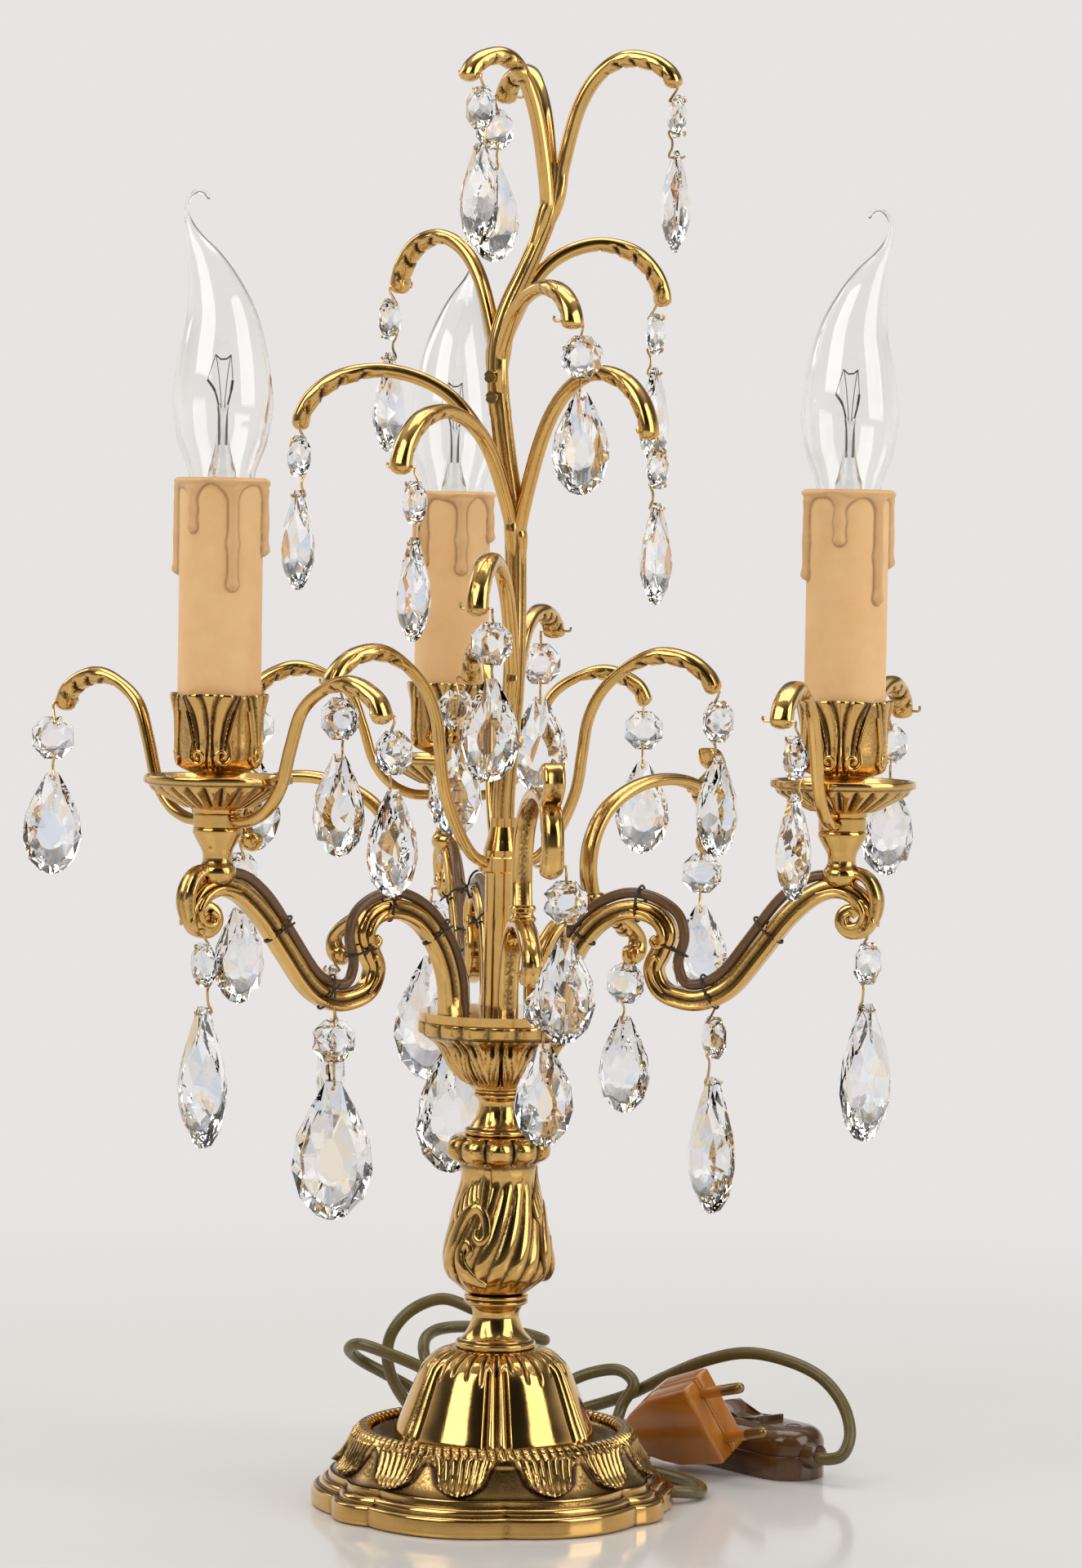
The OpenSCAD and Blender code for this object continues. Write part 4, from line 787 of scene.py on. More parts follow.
def make_baluster():
    line = [[8.4, 0], [9.8, 0.4], [11.4, 1.2], [13.2, 2.7], [15.4, 4.6], [16.9, 6.4], [18.0, 8.8],
            [18.4, 11.2], [18.3, 14], [17.6, 18.5], [16.6, 23], [15.4, 28], [14.3, 32], [13.3, 36],
            [12.8, 38.5], [12.7, 41], [12.9, 43], [13.4, 44.4], [14.8, 45.5], [16.6, 46.4], [17.8, 47.6],
            [18.3, 49.3], [18.2, 51], [17.4, 52.7], [16, 53.8], [14.2, 54.4], [9, 54.6]]
    rows = spline(line, 5)

    def shape(theta, share, r, z):
        fluted = smooth((z - 1.5) / 4) * smooth((41.5 - z) / 7)
        ridge = np.abs(np.cos(9 * (theta - np.radians(1.25 * z))))
        out = fluted * (1.0 * ridge ** 0.7 - 0.75)
        dirt_and_shade = fluted * 0.95 * (1 - ridge) ** 2.2
        crown = smooth((z - 44.2) / 2.2) * smooth((54.5 - z) / 0.8)
        wave = np.cos(5 * (theta - np.radians(FRONT)))
        knob = np.abs(wave)
        large = 0.5 + 0.5 * wave
        out = out + crown * (-2.6 * (1 - knob ** 0.55) - 0.5 * (1 - large))
        dirt_and_shade = dirt_and_shade + crown * 0.95 * (1 - knob) ** 1.8
        dirt_and_shade = dirt_and_shade + 0.7 * bump_at(z, 44.2, 0.8)
        return out, np.zeros_like(out), dirt_and_shade

    piece = Piece("baluster_skin")
    revolve(piece, rows + [0, Z_BALUSTER], COLUMN_SIDES, lambda t, s, r, z: shape(t, s, r, z - Z_BALUSTER),
            caps=BOTH_ENDS)
    scroll = [(-34, 8), (-36, 15), (-30, 23), (-18, 29), (-4, 30.5), (6, 27), (8, 22), (2, 19.5), (-5, 21),
              (-4, 24)]
    lower = [(8, 4.5), (-6, 6.5), (-18, 10.5), (-22, 16), (-15, 19), (-9, 16.5), (-12, 13.8)]
    tongue = [(3, 26), (1, 32), (2, 38), (5, 43.5)]
    ribbons = [(scroll, [1.4, 2.6, 2.9, 2.6, 2.2, 1.9, 1.6, 1.3, 1.1], 0.3),
               (lower, [1.2, 2.3, 2.7, 2.3, 1.9, 1.5, 1.1], 0.3)]
    for k in range(5):
        a, h = 8 * k - 33, 24 + 2.4 * k - 0.2 * k * k
        frond = [(a, h), (a - 5, h + 4), (a - 6, h + 8), (a - 2, h + 10.5)]
        ribbons.append((frond, [1.2, 2.1, 1.7, 0.7], 0.1))
    ribbons.append((tongue, [1.0, 2.2, 2.4, 1.4], 0.1))
    for turn in (250, 10, 130):
        for places, width, lift in ribbons:
            ribbon_on(piece, [(turn + a, h) for a, h in places], rows, width, Z_BALUSTER, lift)
    return piece.build([CAST], LAMP, ["baluster"])


def make_leaf_cup():
    line = [[8.6, 0], [9.6, 0.2], [10.3, 1.2], [12.0, 2.9], [14.4, 5.2], [16.4, 7.8], [17.8, 10.4],
            [19.1, 13], [20.6, 15], [22.4, 16.4], [24.2, 17.5], [25.6, 18.4], [27.2, 18.9], [28.3, 19.5],
            [28.5, 20.3], [28.5, 22.5], [28.2, 23.3], [27.4, 23.5], [10, 23.5]]
    rows = spline(line, 5)

    def shape(theta, share, r, z):
        h = z - Z_LEAF_CUP
        deg = np.degrees(theta)
        bowl = smooth((h - 0.8) / 2.0) * smooth((19.0 - h) / 1.6)
        a = np.mod(deg - FRONT, 36.0) - 18.0
        edge = bump_at(np.abs(a), 18.0 - 5.0 * smooth((6 - h) / 6), 1.7)
        vein = bump_at(a, 0, 1.2)
        feather = 0.5 + 0.5 * np.cos(2 * math.pi * (np.abs(a) / 6.2 - h / 9.0))
        dart = bump_at(np.abs(a), 9.0, 2.2) * smooth((h - 11.5) / 2.0) * smooth((18.0 - h) / 2.0)
        out = bowl * (1.1 - 1.6 * edge + 0.5 * vein - 0.45 * feather * (1 - vein) - 1.3 * dart)
        dirt_and_shade = bowl * (0.95 * edge + 0.5 * feather ** 2 * (1 - vein) + dart)
        band = smooth((h - 18.6) / 0.8)
        scallop = np.abs(np.cos(9 * (theta - math.radians(FRONT))))
        out = out - band * 1.5 * (1 - scallop ** 0.6) * (r > 20)
        dirt_and_shade = dirt_and_shade + band * 0.8 * (1 - scallop) ** 2 * (r > 20) + 0.8 * bump_at(h, 18.6, 0.6)
        return out, np.zeros_like(out), dirt_and_shade

    piece = Piece("leaf_cup_skin")
    revolve(piece, rows + [0, Z_LEAF_CUP], COLUMN_SIDES, shape, caps=BOTH_ENDS)
    return piece.build([CAST], LAMP, ["leaf_cup"])


make_base()
make_spools()
make_baluster()
make_leaf_cup()


# Arms, scroll brackets, spiders and tree

CANDLE_ANGLES = (220.0, 340.0, 100.0)
SCROLL_ANGLES = (280.0, 40.0, 160.0)
CANDLE_REACH = 120.0
ARM_LINE = [[22, -0.2], [23.5, 12.5], [28, 23.5], [36, 32.5], [46, 36.5], [55, 35], [59.5, 29.5],
            [57.5, 23], [55, 17], [57.5, 10.5], [63.5, 7.5], [72, 7], [82, 12], [92, 24], [101, 35.5],
            [110, 43.5], [118, 46.5], [125, 44.5], [129.5, 39], [128.5, 34], [124, 32.5], [121.0, 34.6],
            [121.2, 38.0], [124, 39.6], [126.0, 37.6]]
CABLE_LINE = [[15.7, -2.5], [15.8, 2], [17.2, 14], [22.5, 26.5], [32, 37], [44, 42.4], [55, 41.4],
              [63.5, 36], [66, 28], [64, 19.5], [66, 13.4], [71.5, 13], [79, 17.4], [88, 28.8],
              [97, 40.8], [104.5, 47.6], [110, 50.4], [115, 51.2]]
LOW_SCROLL = [[14, -0.2], [14.6, 10.5], [19.5, 22.5], [28, 30.5], [40, 33.2], [50, 31], [57, 27.5],
              [61.5, 22.5], [60.5, 17.5], [56, 17]]
HIGH_SCROLL = [[41.5, 33], [38.5, 46], [40, 57.5], [46, 67.5], [57, 74.5], [69, 77.5], [81, 77.2],
               [90, 74.2], [95.5, 69], [97, 62.5], [95, 56], [89.5, 54.6]]
SCROLL_KNOB = [[86, 74.6], [91, 75.8], [95.5, 78.8], [97.5, 82], [95, 85.4], [91.6, 85.2]]
SCROLLS = ((LOW_SCROLL, 110, 0.86), (HIGH_SCROLL, 150, 0.86), (SCROLL_KNOB, 60, 0.5))
CENTRE_LINE = [[6.5, 0], [14, 4], [21, 14], [26, 26], [28, 38], [30, 50], [35, 60], [44, 68], [55, 72],
               [65, 70.5], [72, 65.5], [75, 60]]
CANDLE_LINE = [[6.5, 0], [14, 0.4], [21.5, 4], [27.8, 12], [32, 25], [37, 37], [47, 44], [58, 45.5],
               [68, 41], [72, 34]]
CANDLE_SPIDERS = ((140.0, 320.0), (70.0, 250.0), (5.0, 185.0))
CANDLE_SPIDER_Z, CANDLE_BRANCH_Z = 235.0, 237.25
ARM_CURLS = (
    ([[47, 36.6], [53, 35.2], [57.6, 31.2], [58.6, 26.6], [56.6, 24.6], [55.0, 26.4], [56.2, 28]],
     2.75, [0, 0.3, 0.8, 1], [0.5, 1.45, 1.2, 0.8]),
    ([[59, 9.0], [55.4, 13.6], [54.6, 18.5], [56.2, 21.0], [57.6, 19.6]],
     2.8, [0, 0.4, 1], [0.4, 1.25, 0.8]),
    ([[112, 44.6], [119, 46], [125, 43.6], [128.2, 38.8], [126.6, 34.8], [122.8, 34.2], [121.9, 37],
      [123.9, 38.6]],
     2.7, [0, 0.35, 1], [0.4, 1.25, 0.9]))
ARM_LOBE = [[119.5, 49.6], [124.5, 51.8], [129.4, 49.6], [132, 44.4], [131.8, 38.4], [129.4, 33.6]]
ARM_VASE = [[2, 0], [3.6, 0.2], [5.2, 1.2], [6.2, 2.8], [6.35, 4.2], [6.0, 5.6], [5.1, 6.8], [4.75, 8],
            [4.75, 9.8], [5.2, 11.4], [6.2, 13.2], [7.3, 15.2], [7.9, 16.4], [8.1, 17.2], [8.0, 18.1],
            [7.4, 18.5], [4, 18.5]]
ARM_TIES = ((26, 31), (50, 42), (65, 22), (73, 13.4), (92, 34))
CABLE_R, CABLE_PRESS = 1.8, 0.45
VASE_RISE = 47
CANDLE_ROD = [[3.6, 235], [3.6, 272.5]]
BAR_HALF, STRAP_T, LEAF_HALF = 3.5, 2.0, 3.8
SPIDER_ROD, TREE_ROD = (2.15, 1.9), (2.55, 2.4)
BRANCH_LEAF = {"tip_w": LEAF_HALF, "tip_t": 3.0, "start": 0.66, "notches": 5}


def candle_at(i, z=0.0):
    return polar(CANDLE_ANGLES[i], CANDLE_REACH, z)


def arm_section(half, sides=40):
    """A rounded bar with a deep channel along both sides, which runs out into the end scroll."""
    def section(u):
        size = half * np.interp(u, [0, 0.02, 0.8, 0.86, 0.92, 0.96, 1], [1.12, 1, 1, 0.94, 0.86, 0.74, 0.5])
        line = oval(size, size, sides, 0.62)
        deep = smooth((0.93 - u) / 0.05) * smooth((u - 0.01) / 0.03)
        near = np.clip(1 - (line[:, 1] / (0.40 * size)) ** 2, 0, 1) * (np.abs(line[:, 0]) > 0.5 * size)
        line[:, 0] = line[:, 0] * (1 - 0.34 * deep * near)
        under = np.clip(1 - (line[:, 0] / (0.4 * size)) ** 2, 0, 1) * (np.abs(line[:, 1]) > 0.5 * size)
        line[:, 1] = line[:, 1] * (1 - 0.07 * deep * under)
        return line, deep * 0.95 * near ** 0.7
    return section


def lobe_section(u):
    """A plump leaf, fluted along its back, with a blunt tip."""
    w = np.interp(u, [0, 0.25, 0.6, 0.85, 0.96, 1], [2.6, 3.4, 4.0, 3.6, 2.4, 0.9])
    t = np.interp(u, [0, 0.3, 0.7, 0.92, 1], [1.4, 2.0, 2.2, 1.7, 0.6])
    line = oval(w, t, 36, 0.8)
    flute = np.cos(3 * math.pi * line[:, 0] / w) * (line[:, 1] > 0)
    line[:, 1] = line[:, 1] + 0.28 * flute
    return line, 0.5 * np.clip(-flute, 0, 1)


def leaf_rod(half_w, half_t, tip_w, tip_t, start, notches, sides=32, root=1.0):
    """A slim rod that widens into a leaf with slanting notches along its edges, and ends blunt.

    root thins its start.
    """
    phi = round_angles(sides)
    c, s = np.cos(phi), np.sin(phi)

    def section(u):
        v = float(np.clip((u - start) / (1 - start), 0, 1))
        grow = float(smooth(v / 0.4))
        blunt = math.sqrt(max(0.12, 1 - max(0.0, (v - 0.94) / 0.066) ** 2))
        full = blunt * (root + (1 - root) * float(smooth(u / 0.2)))
        w = (half_w + (tip_w - half_w) * grow) * full
        t = (half_t + (tip_t - half_t) * grow) * full
        fade = float(smooth(v / 0.1) * smooth((0.9 - v) / 0.1))
        phase = np.mod(notches * v + 0.45 * s, 1.0)
        bite = fade * smooth((phase - 0.5) / 0.45) * smooth((1.02 - phase) / 0.06)
        edge = smooth((0.15 - s) / 0.5)
        line = np.stack([w * np.sign(c) * np.abs(c) ** 0.85 * (1 - 0.26 * bite * edge),
                         t * np.sign(s) * np.abs(s) ** 0.85 * (1 - 0.30 * bite * edge)], axis=1)
        return line, smooth((bite * edge - 0.25) / 0.5)
    return section


def strap_section(half_w, half_t, end_start, sides=36):
    """A broad strap, domed outside and hollowed inside, that swells into a rolled end."""
    def section(u):
        v = float(smooth((u - end_start) / (1 - end_start)))
        first = float(smooth((0.06 - u) / 0.06))
        close = math.sqrt(1 - 0.9 * max(0.0, (u - 0.96) / 0.04) ** 2)
        w = half_w * (1 + 0.14 * v - 0.1 * first) * close
        t = half_t * (1 + 0.75 * v) * close
        line = oval(w, t, sides, 0.6)
        middle = np.clip(1 - (line[:, 0] / (0.62 * w)) ** 2, 0, 1)
        hollow = (line[:, 1] < 0) * middle * (1 - v)
        crown = (line[:, 1] > 0) * middle
        line[:, 1] = line[:, 1] * (1 - 0.5 * hollow + 0.22 * crown)
        rail = bump_at(np.abs(line[:, 0]) / w, 0.70, 0.10) * (line[:, 1] > 0.2 * t) * (1 - v)
        line[:, 1] = line[:, 1] - 0.35 * rail
        return line, np.clip(0.55 * hollow + 0.8 * rail, 0, 1)
    return section


def tie(piece, arm, cable, at, side):
    """A thin dark wire twisted round an arm and its cable, with two short ends."""
    k = int(np.argmin(np.linalg.norm(cable - at, axis=1)))
    j = int(np.argmin(np.linalg.norm(arm - cable[k], axis=1)))
    middle = (arm[j] + cable[k]) / 2
    over = cable[k] - arm[j]
    reach = np.linalg.norm(over) / 2
    over = over / np.linalg.norm(over)
    turn = np.linspace(0, 2 * math.pi, 41)
    wide = np.where(np.sin(turn) > 0, 3.6, 4.1)
    lean = headings(arm)[j]
    high = np.where(np.sin(turn) > 0, reach + 2.7, reach + 4.0)
    loop = (middle + np.outer(wide * np.cos(turn), side) + np.outer(high * np.sin(turn), over)
            + np.outer(0.5 * np.cos(turn), lean))
    tube(piece, loop, 0.42, 8)
    start = loop[0]
    for s in (-1, 1):
        end = [start, start + side * 1.4 + over * s * 0.8, start + side * 2.2 + over * s * 2.6]
        tube(piece, end, 0.38, 8)


def make_arms():
    piece = Piece("arm_skin")
    cables = Piece("arm_cable_skin")
    ties = Piece("arm_ties")
    for i, angle in enumerate(CANDLE_ANGLES):
        side = tangent(angle)
        arm = stood(ARM_LINE, angle, Z_DECK, 190)
        sweep(piece, arm, side, arm_section(BAR_HALF))
        for s in (-1, 1):
            for line, off, at, half in ARM_CURLS:
                path = standing(spline(line, 6), angle, Z_DECK) + side * s * off
                tube(piece, path, taper(path, at, half), 14)
        for k in range(5):
            fan = spline([[118 + 1.2 * k, 46.6 - 0.6 * k], [122.5 + 1.8 * k, 48.2 - 1.9 * k],
                          [126.2 + 1.5 * k, 46.8 - 3.2 * k]], 6)
            for s in ((-1, 1) if k else (0,)):
                splay = np.outer(np.linspace(0.3, 1, len(fan)), side * s * (0.8 + 0.55 * k))
                path = standing(fan, angle, Z_DECK) + splay
                tube(piece, path, taper(path, [0, 0.5, 0.9, 1], [0.5, 1.15, 0.9, 0.3]), 12)
        sweep(piece, stood(ARM_LOBE, angle, Z_DECK, 48), side, lobe_section)
        rows = spline(ARM_VASE, 5)
        dirt_and_shade = 0.8 * bump_at(rows[:, 1], 6.9, 0.5) + 0.6 * bump_at(rows[:, 1], 0.2, 0.6)
        revolve(piece, rows + [0, Z_DECK + VASE_RISE], 96, origin=candle_at(i), patina_and_shade=dirt_and_shade, caps=BOTH_ENDS)
        revolve(piece, CANDLE_ROD, 32, origin=candle_at(i), caps=BOTH_ENDS)
        cable = stood(CABLE_LINE, angle, Z_DECK, 120)
        nearest = arm[np.argmin(np.linalg.norm(arm[None] - cable[:, None], axis=2), axis=1)]
        towards = nearest - cable
        cable = cable + CABLE_PRESS * towards / np.linalg.norm(towards, axis=1, keepdims=True)
        tube(cables, cable, CABLE_R, 18)
        for place in ARM_TIES:
            tie(ties, arm, cable, standing([place], angle, Z_DECK)[0], side)
    piece.build([BRASS], LAMP, ["candle_arms"])
    cables.build([CABLE], LAMP, ["arm_cables"])
    ties.build([TIE], LAMP)


def collar_section(u):
    """A band with three beads, worn dark at its two edges."""
    swell = 0.5 * math.sin(3 * math.pi * u)
    return oval(4.1 + swell, 2.9 + swell, 28, 0.6), 0.5 * (abs(u - 0.5) > 0.42)


def make_scrolls():
    piece = Piece("scroll_skin")
    for angle in SCROLL_ANGLES:
        side = tangent(angle)
        for line, count, rolled in SCROLLS:
            sweep(piece, stood(line, angle, Z_DECK, count), side, strap_section(BAR_HALF, STRAP_T, rolled))
        for line, r in (([[84, 76.2], [89, 72.4], [92.6, 66.6], [94.4, 60.5]], 2.0),
                        ([[46, 31.6], [52, 28.2], [56.4, 24.2]], 1.8)):
            leaf = stood(line, angle, Z_DECK, 40, steps=6)
            sweep(piece, leaf, side, leaf_rod(0.8, 0.8, 3.4, r, 0.0, 4))
        collar = standing([[40.6, 33.5], [40.0, 39]], angle, Z_DECK)
        sweep(piece, evenly(collar, 12), side, collar_section)
        rivet = standing([[24.2, 27.6]], angle, Z_DECK)[0]
        out = polar(angle, 1.0) * 0.62 - np.array([0, 0, 0.78])
        tube(piece, rivet + np.outer([1.0, 2.6, 3.1, 3.4], out), [2.3, 2.3, 1.6, 0.4], 20)
    piece.build([BRASS], LAMP, ["scroll_brackets"])


def make_spiders():
    piece = Piece("centre_spider_skin")
    hub = [[5.4, 0], [7.9, 0], [8.4, 0.5], [8.4, 5.0], [7.9, 5.5], [5.4, 5.5]]
    revolve(piece, np.array(hub) + [0, Z_HUB], 96, loop=True)
    for angle in CANDLE_ANGLES:
        path = stood(CENTRE_LINE, angle, Z_HUB + 2.75, 130)
        sweep(piece, path, tangent(angle), leaf_rod(*SPIDER_ROD, **BRANCH_LEAF))
    piece.build([BRASS], LAMP, ["centre_spider"])

    piece = Piece("candle_spider_skin")
    hub = [[4.2, 0], [7.6, 0], [8.0, 0.4], [8.0, 4.1], [7.6, 4.5], [4.2, 4.5]]
    for i, pair in enumerate(CANDLE_SPIDERS):
        revolve(piece, np.array(hub) + [0, CANDLE_SPIDER_Z], 96, origin=candle_at(i), loop=True)
        for angle in pair:
            path = stood(CANDLE_LINE, angle, CANDLE_BRANCH_Z, 130, candle_at(i))
            sweep(piece, path, tangent(angle), leaf_rod(*SPIDER_ROD, **BRANCH_LEAF))
    piece.build([BRASS], LAMP, ["candle_spiders"])


TRUNK_LINE = np.array([[-4, 0], [8, 0], [30, 1.5], [44, 3], [70, 3.2], [100, 2.8], [122, -1], [144, -4],
                       [159, -5], [172, -2], [187, 5.5], [203, 12.5], [216, 14.5], [230, 14]], float)
UPPER_BRANCHES = ((222, 211, 256, 246.5, 38.5), (118, 216, 254.5, 245, 37), (340, 220, 256.5, 246.5, 42),
                  (140, 163, 198, 179, 46), (15, 165, 195.5, 175, 57), (300, 158, 178.5, 164, 50))
LOWER_BRANCHES = ((172, 118, 151.5, 131, 72), (237, 103, 136.5, 115, 68), (320, 101, 150.5, 128, 58),
                  (255, 52, 87.5, 69, 48), (70, 46, 70, 61, 40))
BRANCH_FOOT = ((-26, 0.9), (-14, 1.7), (-6, 2.2), (0, 2.6))
BRANCH_RISE = ((0.17, 0.48), (0.29, 0.76), (0.44, 0.93), (0.62, 1))
BRANCH_DROP = ((0.81, 0.134), (0.93, 0.426), (0.987, 0.741), (1, 1))


def trunk_at(h):
    """The trunk's middle at a height, with the bends of its line eased."""
    near = np.interp(h + np.linspace(-10, 10, 9), TRUNK_LINE[:, 0], TRUNK_LINE[:, 1])
    return np.array([np.mean(near), 0.0, Z_TREE + h])


def branch_path(branch):
    """A branch that parts from the trunk, rises to its crest and droops.

    Its values are its angle, the heights where it leaves, crests and ends, and its reach.
    """
    angle, leave, crest, tip, reach = branch
    root = trunk_at(leave)
    points = [trunk_at(leave + h) + polar(angle, out) for h, out in BRANCH_FOOT]
    points += [root + polar(angle, a * reach, b * (crest - leave)) for a, b in BRANCH_RISE]
    points += [root + polar(angle, a * reach, crest - leave - b * (crest - tip)) for a, b in BRANCH_DROP]
    return evenly(spline(points, 8), 150)


def trunk_section(radius, thin):
    """A stem with the ridges of the branches that run down it."""
    phi = round_angles(60)
    ridge = np.abs(np.cos(3.5 * phi + 0.6))

    def section(u):
        r = (radius - thin * u) * (1.04 - 0.14 * (1 - ridge ** 0.6))
        return np.stack([r * np.cos(phi), r * np.sin(phi)], axis=1), 0.85 * (1 - ridge) ** 2
    return section


def make_tree():
    for name, low, high, thin, branches, node in (
            ("tree_lower_skin", -4.0, 156.0, 0.2, LOWER_BRANCHES, "tree_lower"),
            ("tree_upper_skin", 137.0, 222.0, 0.9, UPPER_BRANCHES, "tree_upper")):
        piece = Piece(name)
        heights = [low] + [h for h in TRUNK_LINE[:, 0] if low + 3 < h < high - 3] + [high]
        path = evenly(spline([trunk_at(h) for h in heights], 8), 120)
        sweep(piece, path, (0, 1, 0), trunk_section(3.75, thin))
        for branch in branches:
            leaf = leaf_rod(*TREE_ROD, **BRANCH_LEAF, root=0.5)
            sweep(piece, branch_path(branch), tangent(branch[0]), leaf)
        piece.build([BRASS], LAMP, [node])


make_arms()
make_scrolls()
make_spiders()
make_tree()


# Candles

PAN_Z, CUP_Z, SLEEVE_Z, SLEEVE_TOP, GLASS_Z = 239.5, 246.0, 270.5, 348.0, 346.5
BULB_R = 16.2
BULB_BENDS = (180.0, 0.0, 60.0)
GLASS_T, INNER_SHARE = 0.7, 0.80
FLAME = [[0, 0.64, 0], [4, 0.68, 0], [13, 0.89, 0], [20, 0.97, 0], [27, 1, 0], [40, 0.91, 0],
         [52, 0.74, 0.6], [63, 0.54, 3.2], [71, 0.37, 6.2], [78, 0.19, 9.6], [83.5, 0.085, 11.6],
         [88, 0.05, 12.3], [91.6, 0.042, 11.4], [93.6, 0.04, 9.0], [93.2, 0.042, 6.6], [91.8, 0.055, 5.2],
         [91.2, 0.05, 4.7]]
CUP_OFFSET, CUP_PLUMES = 37, 4


def make_pans():
    under = [[6.0, 0.1], [7.6, 0.1], [8.3, 0.5], [8.5, 1.4], [9.8, 2.3], [12.5, 3.7], [16.5, 5.8],
             [20.4, 7.9], [22.4, 9.2], [23.2, 9.8], [23.9, 10.0], [24.2, 10.4], [24.2, 11.7],
             [24.0, 12.3], [23.6, 12.5]]
    over = [[22.8, 12.3], [22.0, 11.6], [20.8, 10.7], [18.2, 9.7], [14, 7.5], [12.6, 6.7], [6.0, 6.6]]
    rows = spline(under + over, 4)
    lower = (np.arange(len(rows)) < 4 * len(under) - 6).astype(float)[:, None]

    def shape(theta, share, r, z):
        petal = np.abs(np.cos(12 * theta))
        zone = lower * smooth((r - 8.8) / 2.5) * smooth((22.9 - r) / 1.4)
        groove = bump_at(z - PAN_Z, 9.9, 0.35) * lower
        dirt_and_shade = zone * 0.95 * (1 - petal) ** 1.3 + 0.8 * groove + 0.5 * (1 - lower) * smooth((14 - r) / 5)
        return zone * 0.25 * petal, -zone * (1.5 * petal ** 0.8 - 0.7), dirt_and_shade

    piece = Piece("drip_pan_skin")
    for i in range(3):
        revolve(piece, rows + [0, PAN_Z], 288, shape, origin=candle_at(i), loop=True)
    piece.build([BRASS], LAMP, ["drip_pans"])


def make_cups():
    """Candle cups of plumes between pairs of volutes."""
    line = [[5.5, 0.7], [8.2, 0.7], [8.4, 1.4], [8.2, 2.6], [7.3, 3.8], [7.1, 5.0], [7.6, 6.2],
            [9.2, 7.0], [11.0, 7.8], [12.4, 9.2], [13.2, 11.5], [13.5, 14.5], [13.5, 18], [13.6, 22],
            [13.8, 25.4], [14.2, 28.4], [14.6, 30.8], [14.7, 32.0], [14.4, 32.6], [13.9, 32.2],
            [13.7, 30], [13.65, 25.5]]
    rows = spline(line, 5)

    def shape(theta, share, r, z):
        h = z - CUP_Z
        deg = np.degrees(theta)
        outside = (share < 0.86)
        leafy = smooth((h - 7.4) / 1.6) * outside
        a = (np.mod(deg - CUP_OFFSET, 90.0) - 45.0) / 45.0
        rise = np.clip((h - 9) / 23.0, 0, 1)
        bow = np.abs(a) / (0.40 + 0.44 * rise ** 1.5)
        fan = np.abs(np.cos(math.pi * (bow * 1.7 + 0.3 * np.sin(math.pi * rise))))
        groove = np.clip(1 - fan / 0.75, 0, 1)
        inside = smooth((1.0 - bow) / 0.10)
        plume = inside * (0.8 - 1.0 * groove + 0.4 * bump_at(a, 0, 0.09))
        out = leafy * (0.1 + plume - 0.15 * (1 - inside))
        out = out + outside * 0.35 * smooth((h - 26) / 6.0) * inside
        up = -smooth((h - 25) / 7) * 0.8 * (1 - np.cos(a * math.pi / 2) ** 0.7)
        dirt_and_shade = leafy * (inside * groove + 0.8 * bump_at(bow, 1.04, 0.07) + 0.3 * (bow > 1))
        dirt_and_shade = dirt_and_shade + 0.85 * (~outside) + 0.7 * bump_at(h, 7.2, 0.8)
        return out, up, dirt_and_shade

    piece = Piece("candle_cup_skin")
    spin = np.radians(np.linspace(180, 660, 40))
    coil = np.linspace(2.9, 0.5, 40)
    eye = np.stack([6.6 + coil * np.cos(spin), 12.4 + coil * np.sin(spin)], axis=1)
    volute = np.vstack([[(2.2, 27.0), (3.4, 22.5), (4.4, 17.5)], eye])
    wall = np.interp(volute[:, 1], [0, 7, 9.2, 11.5, 14.5, 22, 32], [7.6, 9.2, 12.4, 13.2, 13.5, 13.6, 14.6])
    for i in range(3):
        revolve(piece, rows + [0, CUP_Z], 300, shape, origin=candle_at(i))
        for k in range(CUP_PLUMES):
            turn = CUP_OFFSET + 90 * k
            for s in (-1, 1):
                path = np.array([polar(turn + s * math.degrees(x / 13.4), r + 0.3, CUP_Z + h)
                                 for (x, h), r in zip(volute, wall)])
                tube(piece, path + candle_at(i), taper(path, [0, 0.1, 0.6, 1], [0.4, 0.95, 0.9, 0.6]), 10)
    piece.build([CAST], LAMP, ["candle_cups"])


